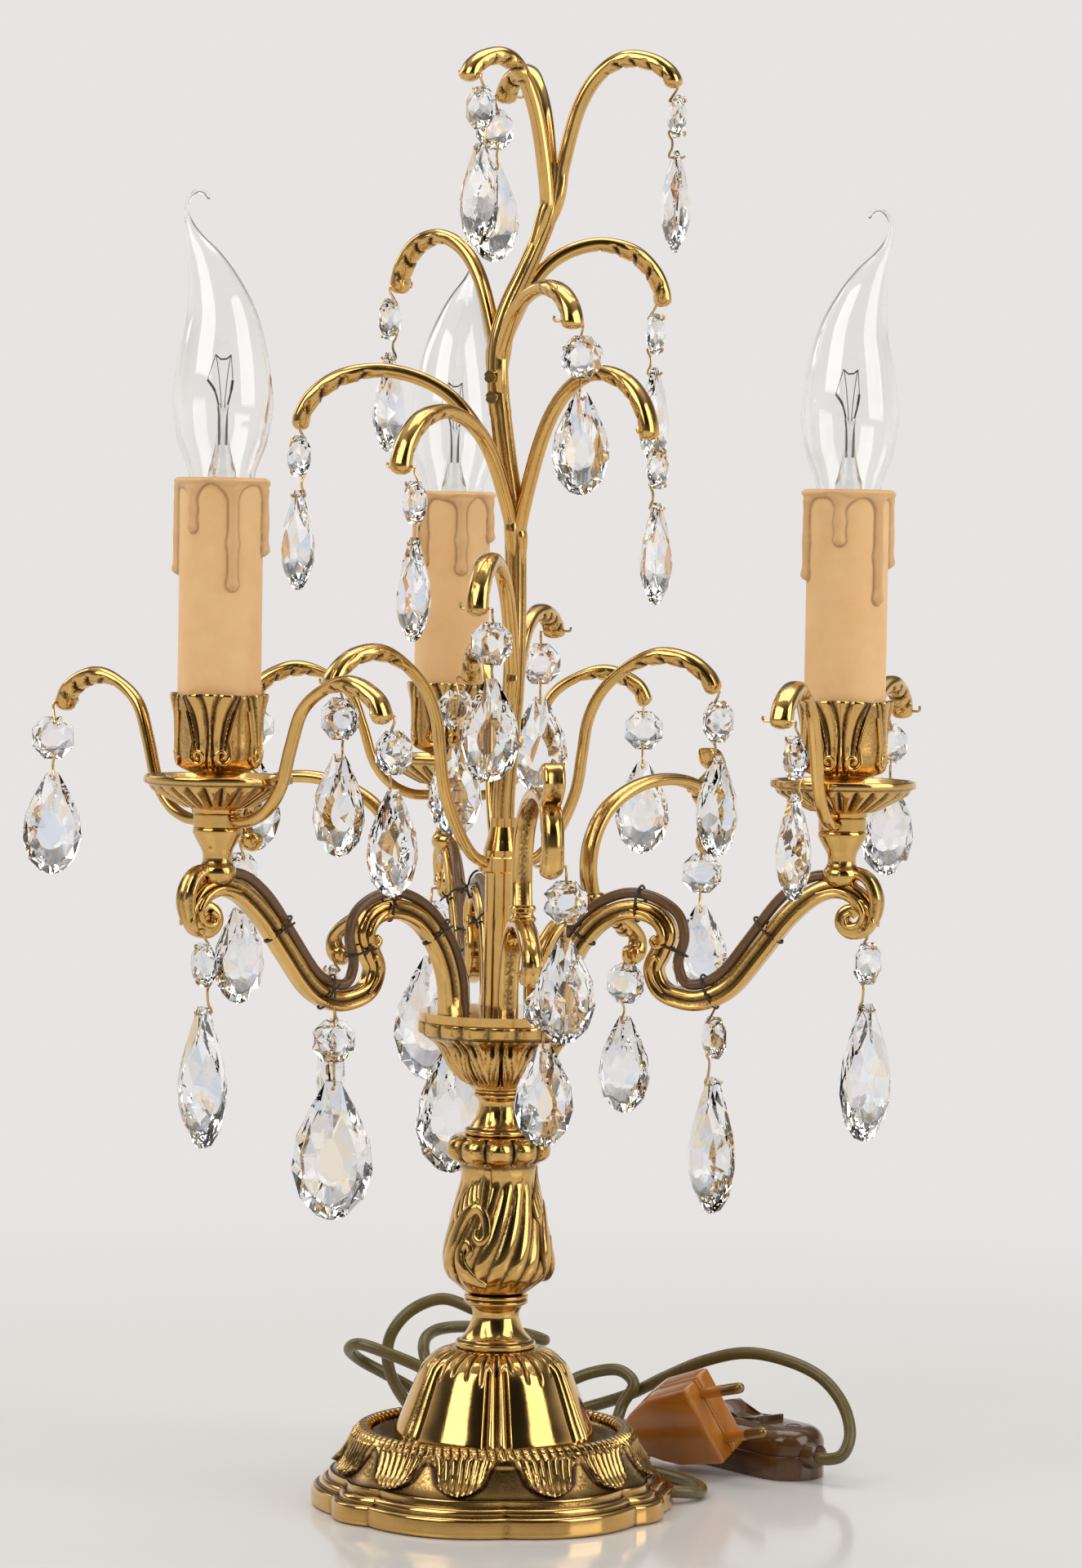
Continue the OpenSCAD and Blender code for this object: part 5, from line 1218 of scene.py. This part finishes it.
def make_sleeves():
    """Candle tubes with a cap of wax that has run down in drips of many lengths."""
    chance = np.random.default_rng(17)
    r, arch, drips, sides = 13.5, 5.2, 6, 220
    tall = SLEEVE_TOP - SLEEVE_Z
    plain = tall - 42
    zs = np.concatenate([np.linspace(0, plain, 10)[:-1], np.linspace(plain, tall - 1.2, 92)])
    theta = round_angles(sides)[None, :]
    z = np.repeat(zs[:, None], sides, axis=1)
    down = tall - z
    brim = [[15.5, tall - 0.7], [14.4, tall], [12.9, tall - 0.2], [12.3, tall - 1.0], [12.2, tall - 12]]
    # Painted shade that deepens going down inside the tube's mouth.
    brim_shade = np.array([[0.0], [0.1], [0.3], [0.6], [0.9]]) * np.ones((1, sides))
    c, s = np.cos(theta[0]), np.sin(theta[0])
    lip = np.stack([np.stack([b * c, b * s, np.full(sides, SLEEVE_Z + h)], axis=-1) for b, h in brim])
    piece = Piece("sleeve_skin")
    for i in range(3):
        places = np.arange(drips) * 60 + chance.uniform(-7, 7, drips) + (54, 14, 42)[i]
        longs = np.roll([34, 28, 31, 19, 37, 25], i) + chance.uniform(-1.2, 1.2, drips)
        wides = chance.uniform(1.6, 2.0, drips)
        cap = 2.6 + 0.5 * np.cos(theta * 5 + i) + 0.3 * np.cos(theta * 9 + 2 * i)
        best = np.maximum(-9.0, (cap - down) * 1.3)
        bead = np.zeros(z.shape)
        into_arch = arch - np.clip(down - cap, 0, arch)
        slant = 1 / (1 + into_arch / np.sqrt(arch ** 2 - into_arch ** 2 + 1.0))
        for place, long, wide in zip(places, longs, wides):
            off = (np.degrees(theta) - place + 180) % 360 - 180
            arc = np.radians(off) * r
            swell = wide * (0.85 + 0.3 * smooth((down - long + 6) / 5)
                            + 0.3 * bump_at(down, 0.58 * long, 2.4))
            swell = swell + arch - np.sqrt(arch ** 2 - into_arch ** 2)
            side = swell - np.abs(arc)
            tip = swell - np.sqrt(arc ** 2 + np.maximum(0, down - (long - swell)) ** 2)
            run = np.where(down < long - swell, side, tip)
            best = np.maximum(best, run * slant)
            from_tip = np.sqrt(arc ** 2 + (down - long + swell) ** 2)
            bead = np.maximum(bead, bump_at(from_tip, 0, swell * 0.9))
        thick = 2.2 * np.sqrt(np.clip(best / 1.6, 0, 1)) + 0.4 * bead * (best > 0)
        # Painted shade in the crease along the edges of the drips; the drips themselves are also a little
        # darker.
        crease_shade = bump_at(best, -0.15, 0.35) * (down < 44)
        out = r + thick * smooth(down / 1.2 + 0.35)
        dirt_and_shade = 0.75 * crease_shade + 0.24 * smooth(best / 0.8)
        rows = np.stack([out * np.cos(theta), out * np.sin(theta), z + SLEEVE_Z], axis=-1)
        rows = np.concatenate([rows, lip]) + candle_at(i)
        piece.grid(rows, np.clip(np.concatenate([dirt_and_shade, brim_shade]), 0, 1))
    piece.build([WAX], LAMP, ["candle_sleeves"], sharp=60)


def make_bulb(i, body):
    """A clear bent-tip flame bulb: thin glass, glass stem, lead wires and a coiled filament."""
    piece = Piece(body + "_skin")
    spread = np.array([0.94, 0.34, 0.0])
    across_view = np.array([-0.34, 0.94, 0.0])
    shape = spline(FLAME, 8)
    lean, across = polar(BULB_BENDS[i], 1.0), tangent(BULB_BENDS[i])
    origin = candle_at(i, GLASS_Z)
    axis = origin + np.outer(shape[:, 2], lean) + np.outer(shape[:, 0], UP)
    way = headings(axis)
    phi = round_angles(72)

    def shell(less, stop):
        rows = []
        for k in range(stop):
            first = np.cross(across, way[k])
            r = max(0.25, shape[k, 1] * BULB_R - less)
            rows.append(axis[k] + r * (np.outer(np.cos(phi), first) + np.outer(np.sin(phi), across)))
        return np.array(rows)

    piece.grid(shell(0.0, len(shape)), caps=BOTH_ENDS)
    inner = shell(GLASS_T, int(len(shape) * INNER_SHARE))
    piece.grid(inner + [0, 0, 0.5], caps=BOTH_ENDS, hollow=True)
    stem = spline([[4.6, 0.8], [4.4, 4], [3.0, 9], [2.0, 15], [1.7, 22], [1.9, 24.4], [1.2, 25.4]], 4)
    revolve(piece, stem, 32, origin=origin, caps=BOTH_ENDS, material=1)
    for s in (-1, 1):
        lead = spline([[s * 0.8, 12], [s * 1.1, 22], [s * 2.6, 29], [s * (4.2 - s), 33]], 6)
        prop = spline([[s * 0.4, 24], [s * 1.4, 34], [s * 2.4, 41]], 4)
        for line, half in ((lead, [0.3] * 13 + [0.42] * 6), (prop, 0.13)):
            tube(piece, origin + np.outer(line[:, 0], spread) + np.outer(line[:, 1], UP), half, 6, 2)
    t = np.linspace(-1, 1, 260)
    hang = np.interp(t, [-1, -0.55, -0.2, 0.2, 0.5, 1], [33, 41, 39.6, 39.8, 41, 33])
    coil = (origin + np.outer(np.interp(t, [-1, -0.55, 0.5, 1], [-5.2, -2.6, 2.6, 3.2]), spread)
            + np.outer(hang + 0.22 * np.sin(t * 190), UP) + np.outer(0.22 * np.cos(t * 190), across_view))
    tube(piece, coil, 0.11, 5, 2)
    turn = np.linspace(0, 1, 60)
    thread = np.stack([6.55 + 0.35 * np.sin(turn * 2 * math.pi * 6.5), -24.0 + turn * 22.6], axis=1)
    collar = [[7.0, -1.0], [10.0, -0.4], [10.35, 0.3], [9.9, 0.5]]
    thread = np.vstack([[[2.2, -27.0], [4.6, -25.6]], thread, collar])
    revolve(piece, thread, 48, origin=origin, caps=BOTH_ENDS, material=3)
    piece.build([GLASS, STEM, FILAMENT, STEEL], body, [body], sharp=50)


make_pans()
make_cups()
make_sleeves()
for number, bulb in enumerate(("bulb_left", "bulb_right", "bulb_back")):
    make_bulb(number, bulb)


# Crystal drops: an octagon bead and a pear on bent brass wire, each on its own swinging body

TURNS = {
    "drop_top_left": -2, "drop_top_back": 2, "drop_top_right": 30, "drop_high_left": 15,
    "drop_high_right": -35, "drop_high_front": -10, "drop_mid_left": 40, "drop_mid_front": -27,
    "drop_mid_right": 15, "drop_low_front": 0, "drop_low_back": 25, "drop_centre_left": 20,
    "drop_centre_right": -25, "drop_centre_back": 10, "drop_candle_left_outer": -30,
    "drop_candle_left_inner": -10, "drop_candle_right_rear": 40, "drop_candle_right_front": -45,
    "drop_candle_back_right": 75, "drop_candle_back_left": -80, "drop_arm_end_left": -5,
    "drop_arm_end_right": -20, "drop_arm_end_back": -20, "drop_arm_mid_left": 45,
    "drop_arm_mid_right": 50, "drop_arm_mid_back": 15, "drop_scroll_high_front": -10,
    "drop_scroll_high_right": 40, "drop_scroll_high_left": -35, "drop_scroll_low_front": 5,
    "drop_scroll_low_right": 20, "drop_scroll_low_left": 15,
}
BEAD_D, PEAR_H, PEAR_W, PEAR_T = 14.0, 34.0, 20.0, 9.0
HOOK_WIRE_R = 0.45
HOOK_CLEAR = 1.2
HOOK_TO_BEAD, BEAD_TO_PEAR, PEAR_HOLE_IN, LARGE_PEAR = 11.5, 11.5, 2.2, 1.35


def drill(mesh_points, mesh_faces, holes, radius=0.75):
    """Cuts round holes along x through a faceted stone; returns its points and faces."""
    mesh = bpy.data.meshes.new("stone")
    mesh.from_pydata(np.asarray(mesh_points).tolist(), [], mesh_faces)
    stone = placed("stone", mesh)
    turn_faces_out(mesh)
    cutters = []
    for z in holes:
        bm = bmesh.new()
        bmesh.ops.create_cone(bm, cap_ends=True, segments=10, radius1=radius, radius2=radius, depth=40,
                              matrix=Matrix.Translation((0, 0, z)) @ Matrix.Rotation(math.pi / 2, 4, "Y"))
        cut = bpy.data.meshes.new("hole")
        bm.to_mesh(cut)
        bm.free()
        cutter = placed("hole", cut)
        change = stone.modifiers.new("hole", "BOOLEAN")
        change.operation = "DIFFERENCE"
        change.solver = "EXACT"
        change.object = cutter
        cutters.append(cutter)
    made = stone.evaluated_get(bpy.context.evaluated_depsgraph_get()).to_mesh()
    points = np.array([v.co for v in made.vertices])
    faces = [tuple(p.vertices) for p in made.polygons]
    for o in cutters + [stone]:
        data = o.data
        bpy.data.objects.remove(o)
        bpy.data.meshes.remove(data)
    return points, faces


def faceted(outer, rings, middle_z):
    """A stone cut alike on both faces: each ring is (shrink, half thickness, half step) about its middle."""
    n = len(outer)
    middle = np.array([0.0, middle_z])
    points, faces = [], []
    for face in (1, -1):
        start = len(points)
        for shrink, thick, shift in rings:
            ring = outer if not shift else (outer + np.roll(outer, -1, axis=0)) / 2
            ring = middle + (ring - middle) * shrink
            points.extend([(face * thick, y, z) for y, z in ring])
        for k in range(len(rings) - 1):
            a, b = start + k * n, start + (k + 1) * n
            shifted = rings[k + 1][2] and not rings[k][2]
            for j in range(n):
                j1 = (j + 1) % n
                if shifted:
                    faces.append((a + j, a + j1, b + j))
                    faces.append((b + j, a + j1, b + j1))
                else:
                    faces.append((a + j, a + j1, b + j1))
                    faces.append((a + j, b + j1, b + j))
        last = start + (len(rings) - 1) * n
        faces.append(tuple(last + j for j in range(n)))
    half = len(points) // 2
    faces.extend([(j, half + j, half + (j + 1) % n, (j + 1) % n) for j in range(n)])
    return np.array(points, float), faces


def bead_stone():
    rim = BEAD_D / 2 / math.cos(math.pi / 8)
    outer = np.array([(rim * math.cos(a), rim * math.sin(a)) for a in (np.arange(8) + 0.5) * math.pi / 4])
    points, faces = faceted(outer, [(1.0, 0.55, 0), (0.74, 1.95, 1), (0.40, 2.95, 0)], 0.0)
    return drill(points, faces, [BEAD_D / 2 - 2, 2 - BEAD_D / 2])


def pear_stone(size):
    shape = [[0, 0.18], [0.18, 0.54], [0.41, 0.91], [0.64, 1.0], [0.85, 0.78], [0.97, 0.36], [1.0, 0.06]]
    right = [(w * PEAR_W / 2, -h * PEAR_H) for h, w in shape]
    outer = np.array(right + [(-y, z) for y, z in reversed(right)]) * size
    t = PEAR_T / 2 * size
    points, faces = faceted(outer, [(1.0, 0.11 * t, 0), (0.70, 0.66 * t, 1), (0.34, 1.0 * t, 0)],
                            -0.60 * PEAR_H * size)
    neck = points[:, 2] > -0.2 * PEAR_H * size
    points[neck, 0] = np.clip(points[neck, 0], -0.36 * t, 0.36 * t)
    return drill(points, faces, [-PEAR_HOLE_IN])


def painted_fire(count, seed):
    """Pale colours painted on some facets: a painted stand-in for the prism fire of clear glass."""
    chance = np.random.default_rng(seed)
    fire_hues = np.array([[1, 1, 1]] * 4 + [
        [0.97, 0.99, 1.0], [0.95, 1.0, 0.97], [1.0, 0.97, 0.93], [0.93, 0.95, 1.0], [1.0, 0.94, 0.96],
        [0.74, 0.84, 1.0], [1.0, 0.84, 0.62]])
    return fire_hues[chance.integers(0, len(fire_hues), count)] * 0.985


STONES = {"bead": bead_stone(), 1.0: pear_stone(1.0), LARGE_PEAR: pear_stone(LARGE_PEAR)}


def make_drop(joint, seed):
    name = joint["child"]
    chance = np.random.default_rng(seed)
    hook = np.array(joint["pos_m"]) / MM
    side = np.array(joint["axis"], float)
    angle = math.degrees(math.atan2(-side[0], side[1]))
    facing = angle + TURNS[name]
    face = polar(facing, 1.0)
    size = LARGE_PEAR if name.startswith("drop_arm") else 1.0
    half = (BAR_HALF if name.startswith(("drop_arm", "drop_scroll")) else LEAF_HALF) + HOOK_CLEAR
    link = BEAD_TO_PEAR + (2 if size > 1 else 0)
    hang = hook + side * half
    bead_z = -HOOK_TO_BEAD
    pear_z = bead_z - link
    by_bead = face * 2.6
    by_pear = face * (PEAR_T * size * 0.18 + 0.7)
    high, low, hole = bead_z + 5.0, bead_z - 5.0, pear_z - PEAR_HOLE_IN
    piece = Piece(name + "_skin")
    turn = turn_z(facing)
    fire_tints = []
    for key, z in (("bead", bead_z), (size, pear_z)):
        points, faces = STONES[key]
        piece.add(points @ turn.T + hang + [0, 0, z], faces)
        fire_tints.append(painted_fire(len(faces), seed * 7 + len(fire_tints)))
    stone_faces = len(piece.faces)

    def beside(out, rows):
        """Points of a wire at a stone: each row is (outwards, sideways, up) from where the drop hangs."""
        return [hang + out * o + side * a + UP * z for o, a, z in rows]

    end = hook - side * half
    bend = chance.uniform(-0.4, 0.4)
    first = [end - side * 0.9 + UP * (1.6 + bend), end - side * 1.1 + UP * 0.7, end - side * 0.5, end, hook]
    upper = first + beside(by_bead, [
        (0, -0.4, 0), (0, 0, -0.6), (0, 0, -2.2), (-0.75, 0, high + 1.2), (-1, 0, high), (0, 0, high),
        (1, 0, high), (1.12, -0.5, high + 0.9), (0.9, -0.9, high + 1.5)])
    slack = chance.uniform(-0.5, 0.5)
    lower = beside(by_bead, [
        (0.85, 0.9, low - 1.2), (1.08, 0.4, low - 0.6), (0.95, 0, low), (0, 0, low), (-0.95, 0, low),
        (-0.98, 0, low - 1.1), (-0.55, slack, low - 3.2)])
    lower = lower + beside(by_pear, [
        (-0.6, slack, hole + 3.2), (-1.02, 0, hole + 1.2), (-0.98, 0, hole), (0, 0, hole), (0.95, 0, hole),
        (1.15, 0.5, hole + 0.6)])
    for line, count in ((upper, 70), (lower, 60)):
        tube(piece, evenly(spline(line, 6), count), HOOK_WIRE_R, 8, 1, patina_and_shade=0.15)
    obj = piece.build([CRYSTAL, WIRE], name, [name], sharp=5)
    mesh = obj.data
    for polygon in mesh.polygons:
        polygon.use_smooth = polygon.material_index == 1
    colours = np.ones((len(mesh.polygons), 4), np.float32)
    # Painted prism fire on the stone faces.
    colours[:stone_faces, :3] = np.vstack(fire_tints)
    corner = np.repeat(colours, [p.loop_total for p in mesh.polygons], axis=0)
    tint = mesh.color_attributes.new("tint", "FLOAT_COLOR", "CORNER")
    tint.data.foreach_set("color", corner.ravel())


drops = [j for j in frame["joints"] if j["child"].startswith("drop_")]
for number, joint in enumerate(drops):
    make_drop(joint, number + 1)


# Plain turned and drilled pieces keep their solids

for node, material in (("arm_plate", BRASS), ("centre_tube", BRASS), ("tree_ferrule", BRASS),
                       ("fasteners", BRASS), ("lampholders", HOLDER), ("base_pad", FELT)):
    mesh = frame["nodes"][node].data
    mesh.materials.clear()
    mesh.materials.append(material)


# Floor, light and background

PALE = (0.80, 0.775, 0.765)
FLOOR_HALF, FLOOR_NEAR, FLOOR_FAR = 14.0, 0.22, 0.85
SKY = ((0.0, 0.86), (0.10, 0.86), (0.22, 0.58), (0.36, 0.14), (0.62, 0.20), (0.80, 0.95), (1.0, 1.0))


def make_floor():
    """A pale glossy floor that passes into the background away from the lamp."""
    mesh = bpy.data.meshes.new("floor")
    corners = ((-1, -1), (1, -1), (1, 1), (-1, 1))
    mesh.from_pydata([(x * FLOOR_HALF, y * FLOOR_HALF, 0) for x, y in corners], [], [(0, 1, 2, 3)])
    n = Nodes("floor")
    n.put("Base Color", (0.80, 0.785, 0.765, 1.0))
    n.put("Roughness", 0.12)
    n.put("Specular IOR Level", 0.45)
    pale = n.new("Emission", {"Color": (*PALE, 1.0)})
    distance = n.new("VectorMath", {0: n.place}, operation="LENGTH")
    reach = {"From Min": FLOOR_NEAR, "From Max": FLOOR_FAR, "Value": distance.outputs["Value"]}
    far = n.new("MapRange", reach, interpolation_type="SMOOTHSTEP")
    path = n.new("LightPath").outputs
    seen = n.sum("MAXIMUM", n.sum("MAXIMUM", path["Is Camera Ray"], path["Is Glossy Ray"]),
                 path["Is Transmission Ray"])
    share = n.sum("MULTIPLY", far.outputs["Result"], seen)
    blend = n.new("MixShader", {"Fac": share, 1: n.bsdf.outputs["BSDF"], 2: pale.outputs["Emission"]})
    feed(n.tree, n.tree.nodes["Material Output"].inputs["Surface"], blend.outputs["Shader"])
    mesh.materials.append(n.material)
    placed("floor", mesh)


def make_world():
    """A plain background for the camera, and a room with a dark band for the reflections."""
    world = bpy.data.worlds.new("world")
    bpy.context.scene.world = world
    world.use_nodes = True
    tree = world.node_tree
    way = new_node(tree, "SeparateXYZ", {"Vector": new_node(tree, "TexCoord").outputs["Generated"]})
    ramp = new_node(tree, "ValToRGB", {"Fac": way.outputs["Z"]})
    set_ramp(ramp, [(at, (v, v * 0.975, v * 0.955)) for at, v in SKY])
    room = new_node(tree, "MapRange", {"From Min": -0.5, "From Max": 0.6, "To Min": 0.12, "To Max": 1.0,
                                       "Value": way.outputs["Y"]})
    shade = new_node(tree, "VectorMath", {0: ramp.outputs["Color"], "Scale": room.outputs["Result"]},
                     operation="SCALE")
    path = new_node(tree, "LightPath")
    seen = new_node(tree, "Mix", {0: path.outputs["Is Camera Ray"], 6: shade.outputs["Vector"],
                                  7: (*PALE, 1.0)}, data_type="RGBA")
    back = tree.nodes["Background"]
    feed(tree, back.inputs["Color"], seen.outputs[2])
    back.inputs["Strength"].default_value = 1.0


def make_light(name, place, aim, size, power, colour=(1.0, 0.985, 0.965)):
    data = bpy.data.lights.new(name, "AREA")
    data.shape = "RECTANGLE"
    data.size, data.size_y = size
    data.energy = power
    data.color = colour
    obj = placed(name, data)
    obj.location = place
    obj.rotation_euler = (Vector(aim) - Vector(place)).to_track_quat("-Z", "Y").to_euler()


make_floor()
make_world()
make_light("key", (-1.1, -1.0, 1.35), (0, 0, 0.25), (1.3, 1.3), 17.0)
make_light("fill", (1.3, -0.7, 0.9), (0, 0, 0.25), (1.1, 1.4), 13.0)
make_light("top", (0.1, 0.3, 1.7), (0, 0, 0.2), (1.4, 1.0), 9.0)
make_light("back", (-1.7, 1.2, 1.4), (0, 0, 0.3), (1.0, 1.0), 6.0)

bpy.context.scene.view_settings.view_transform = "Standard"
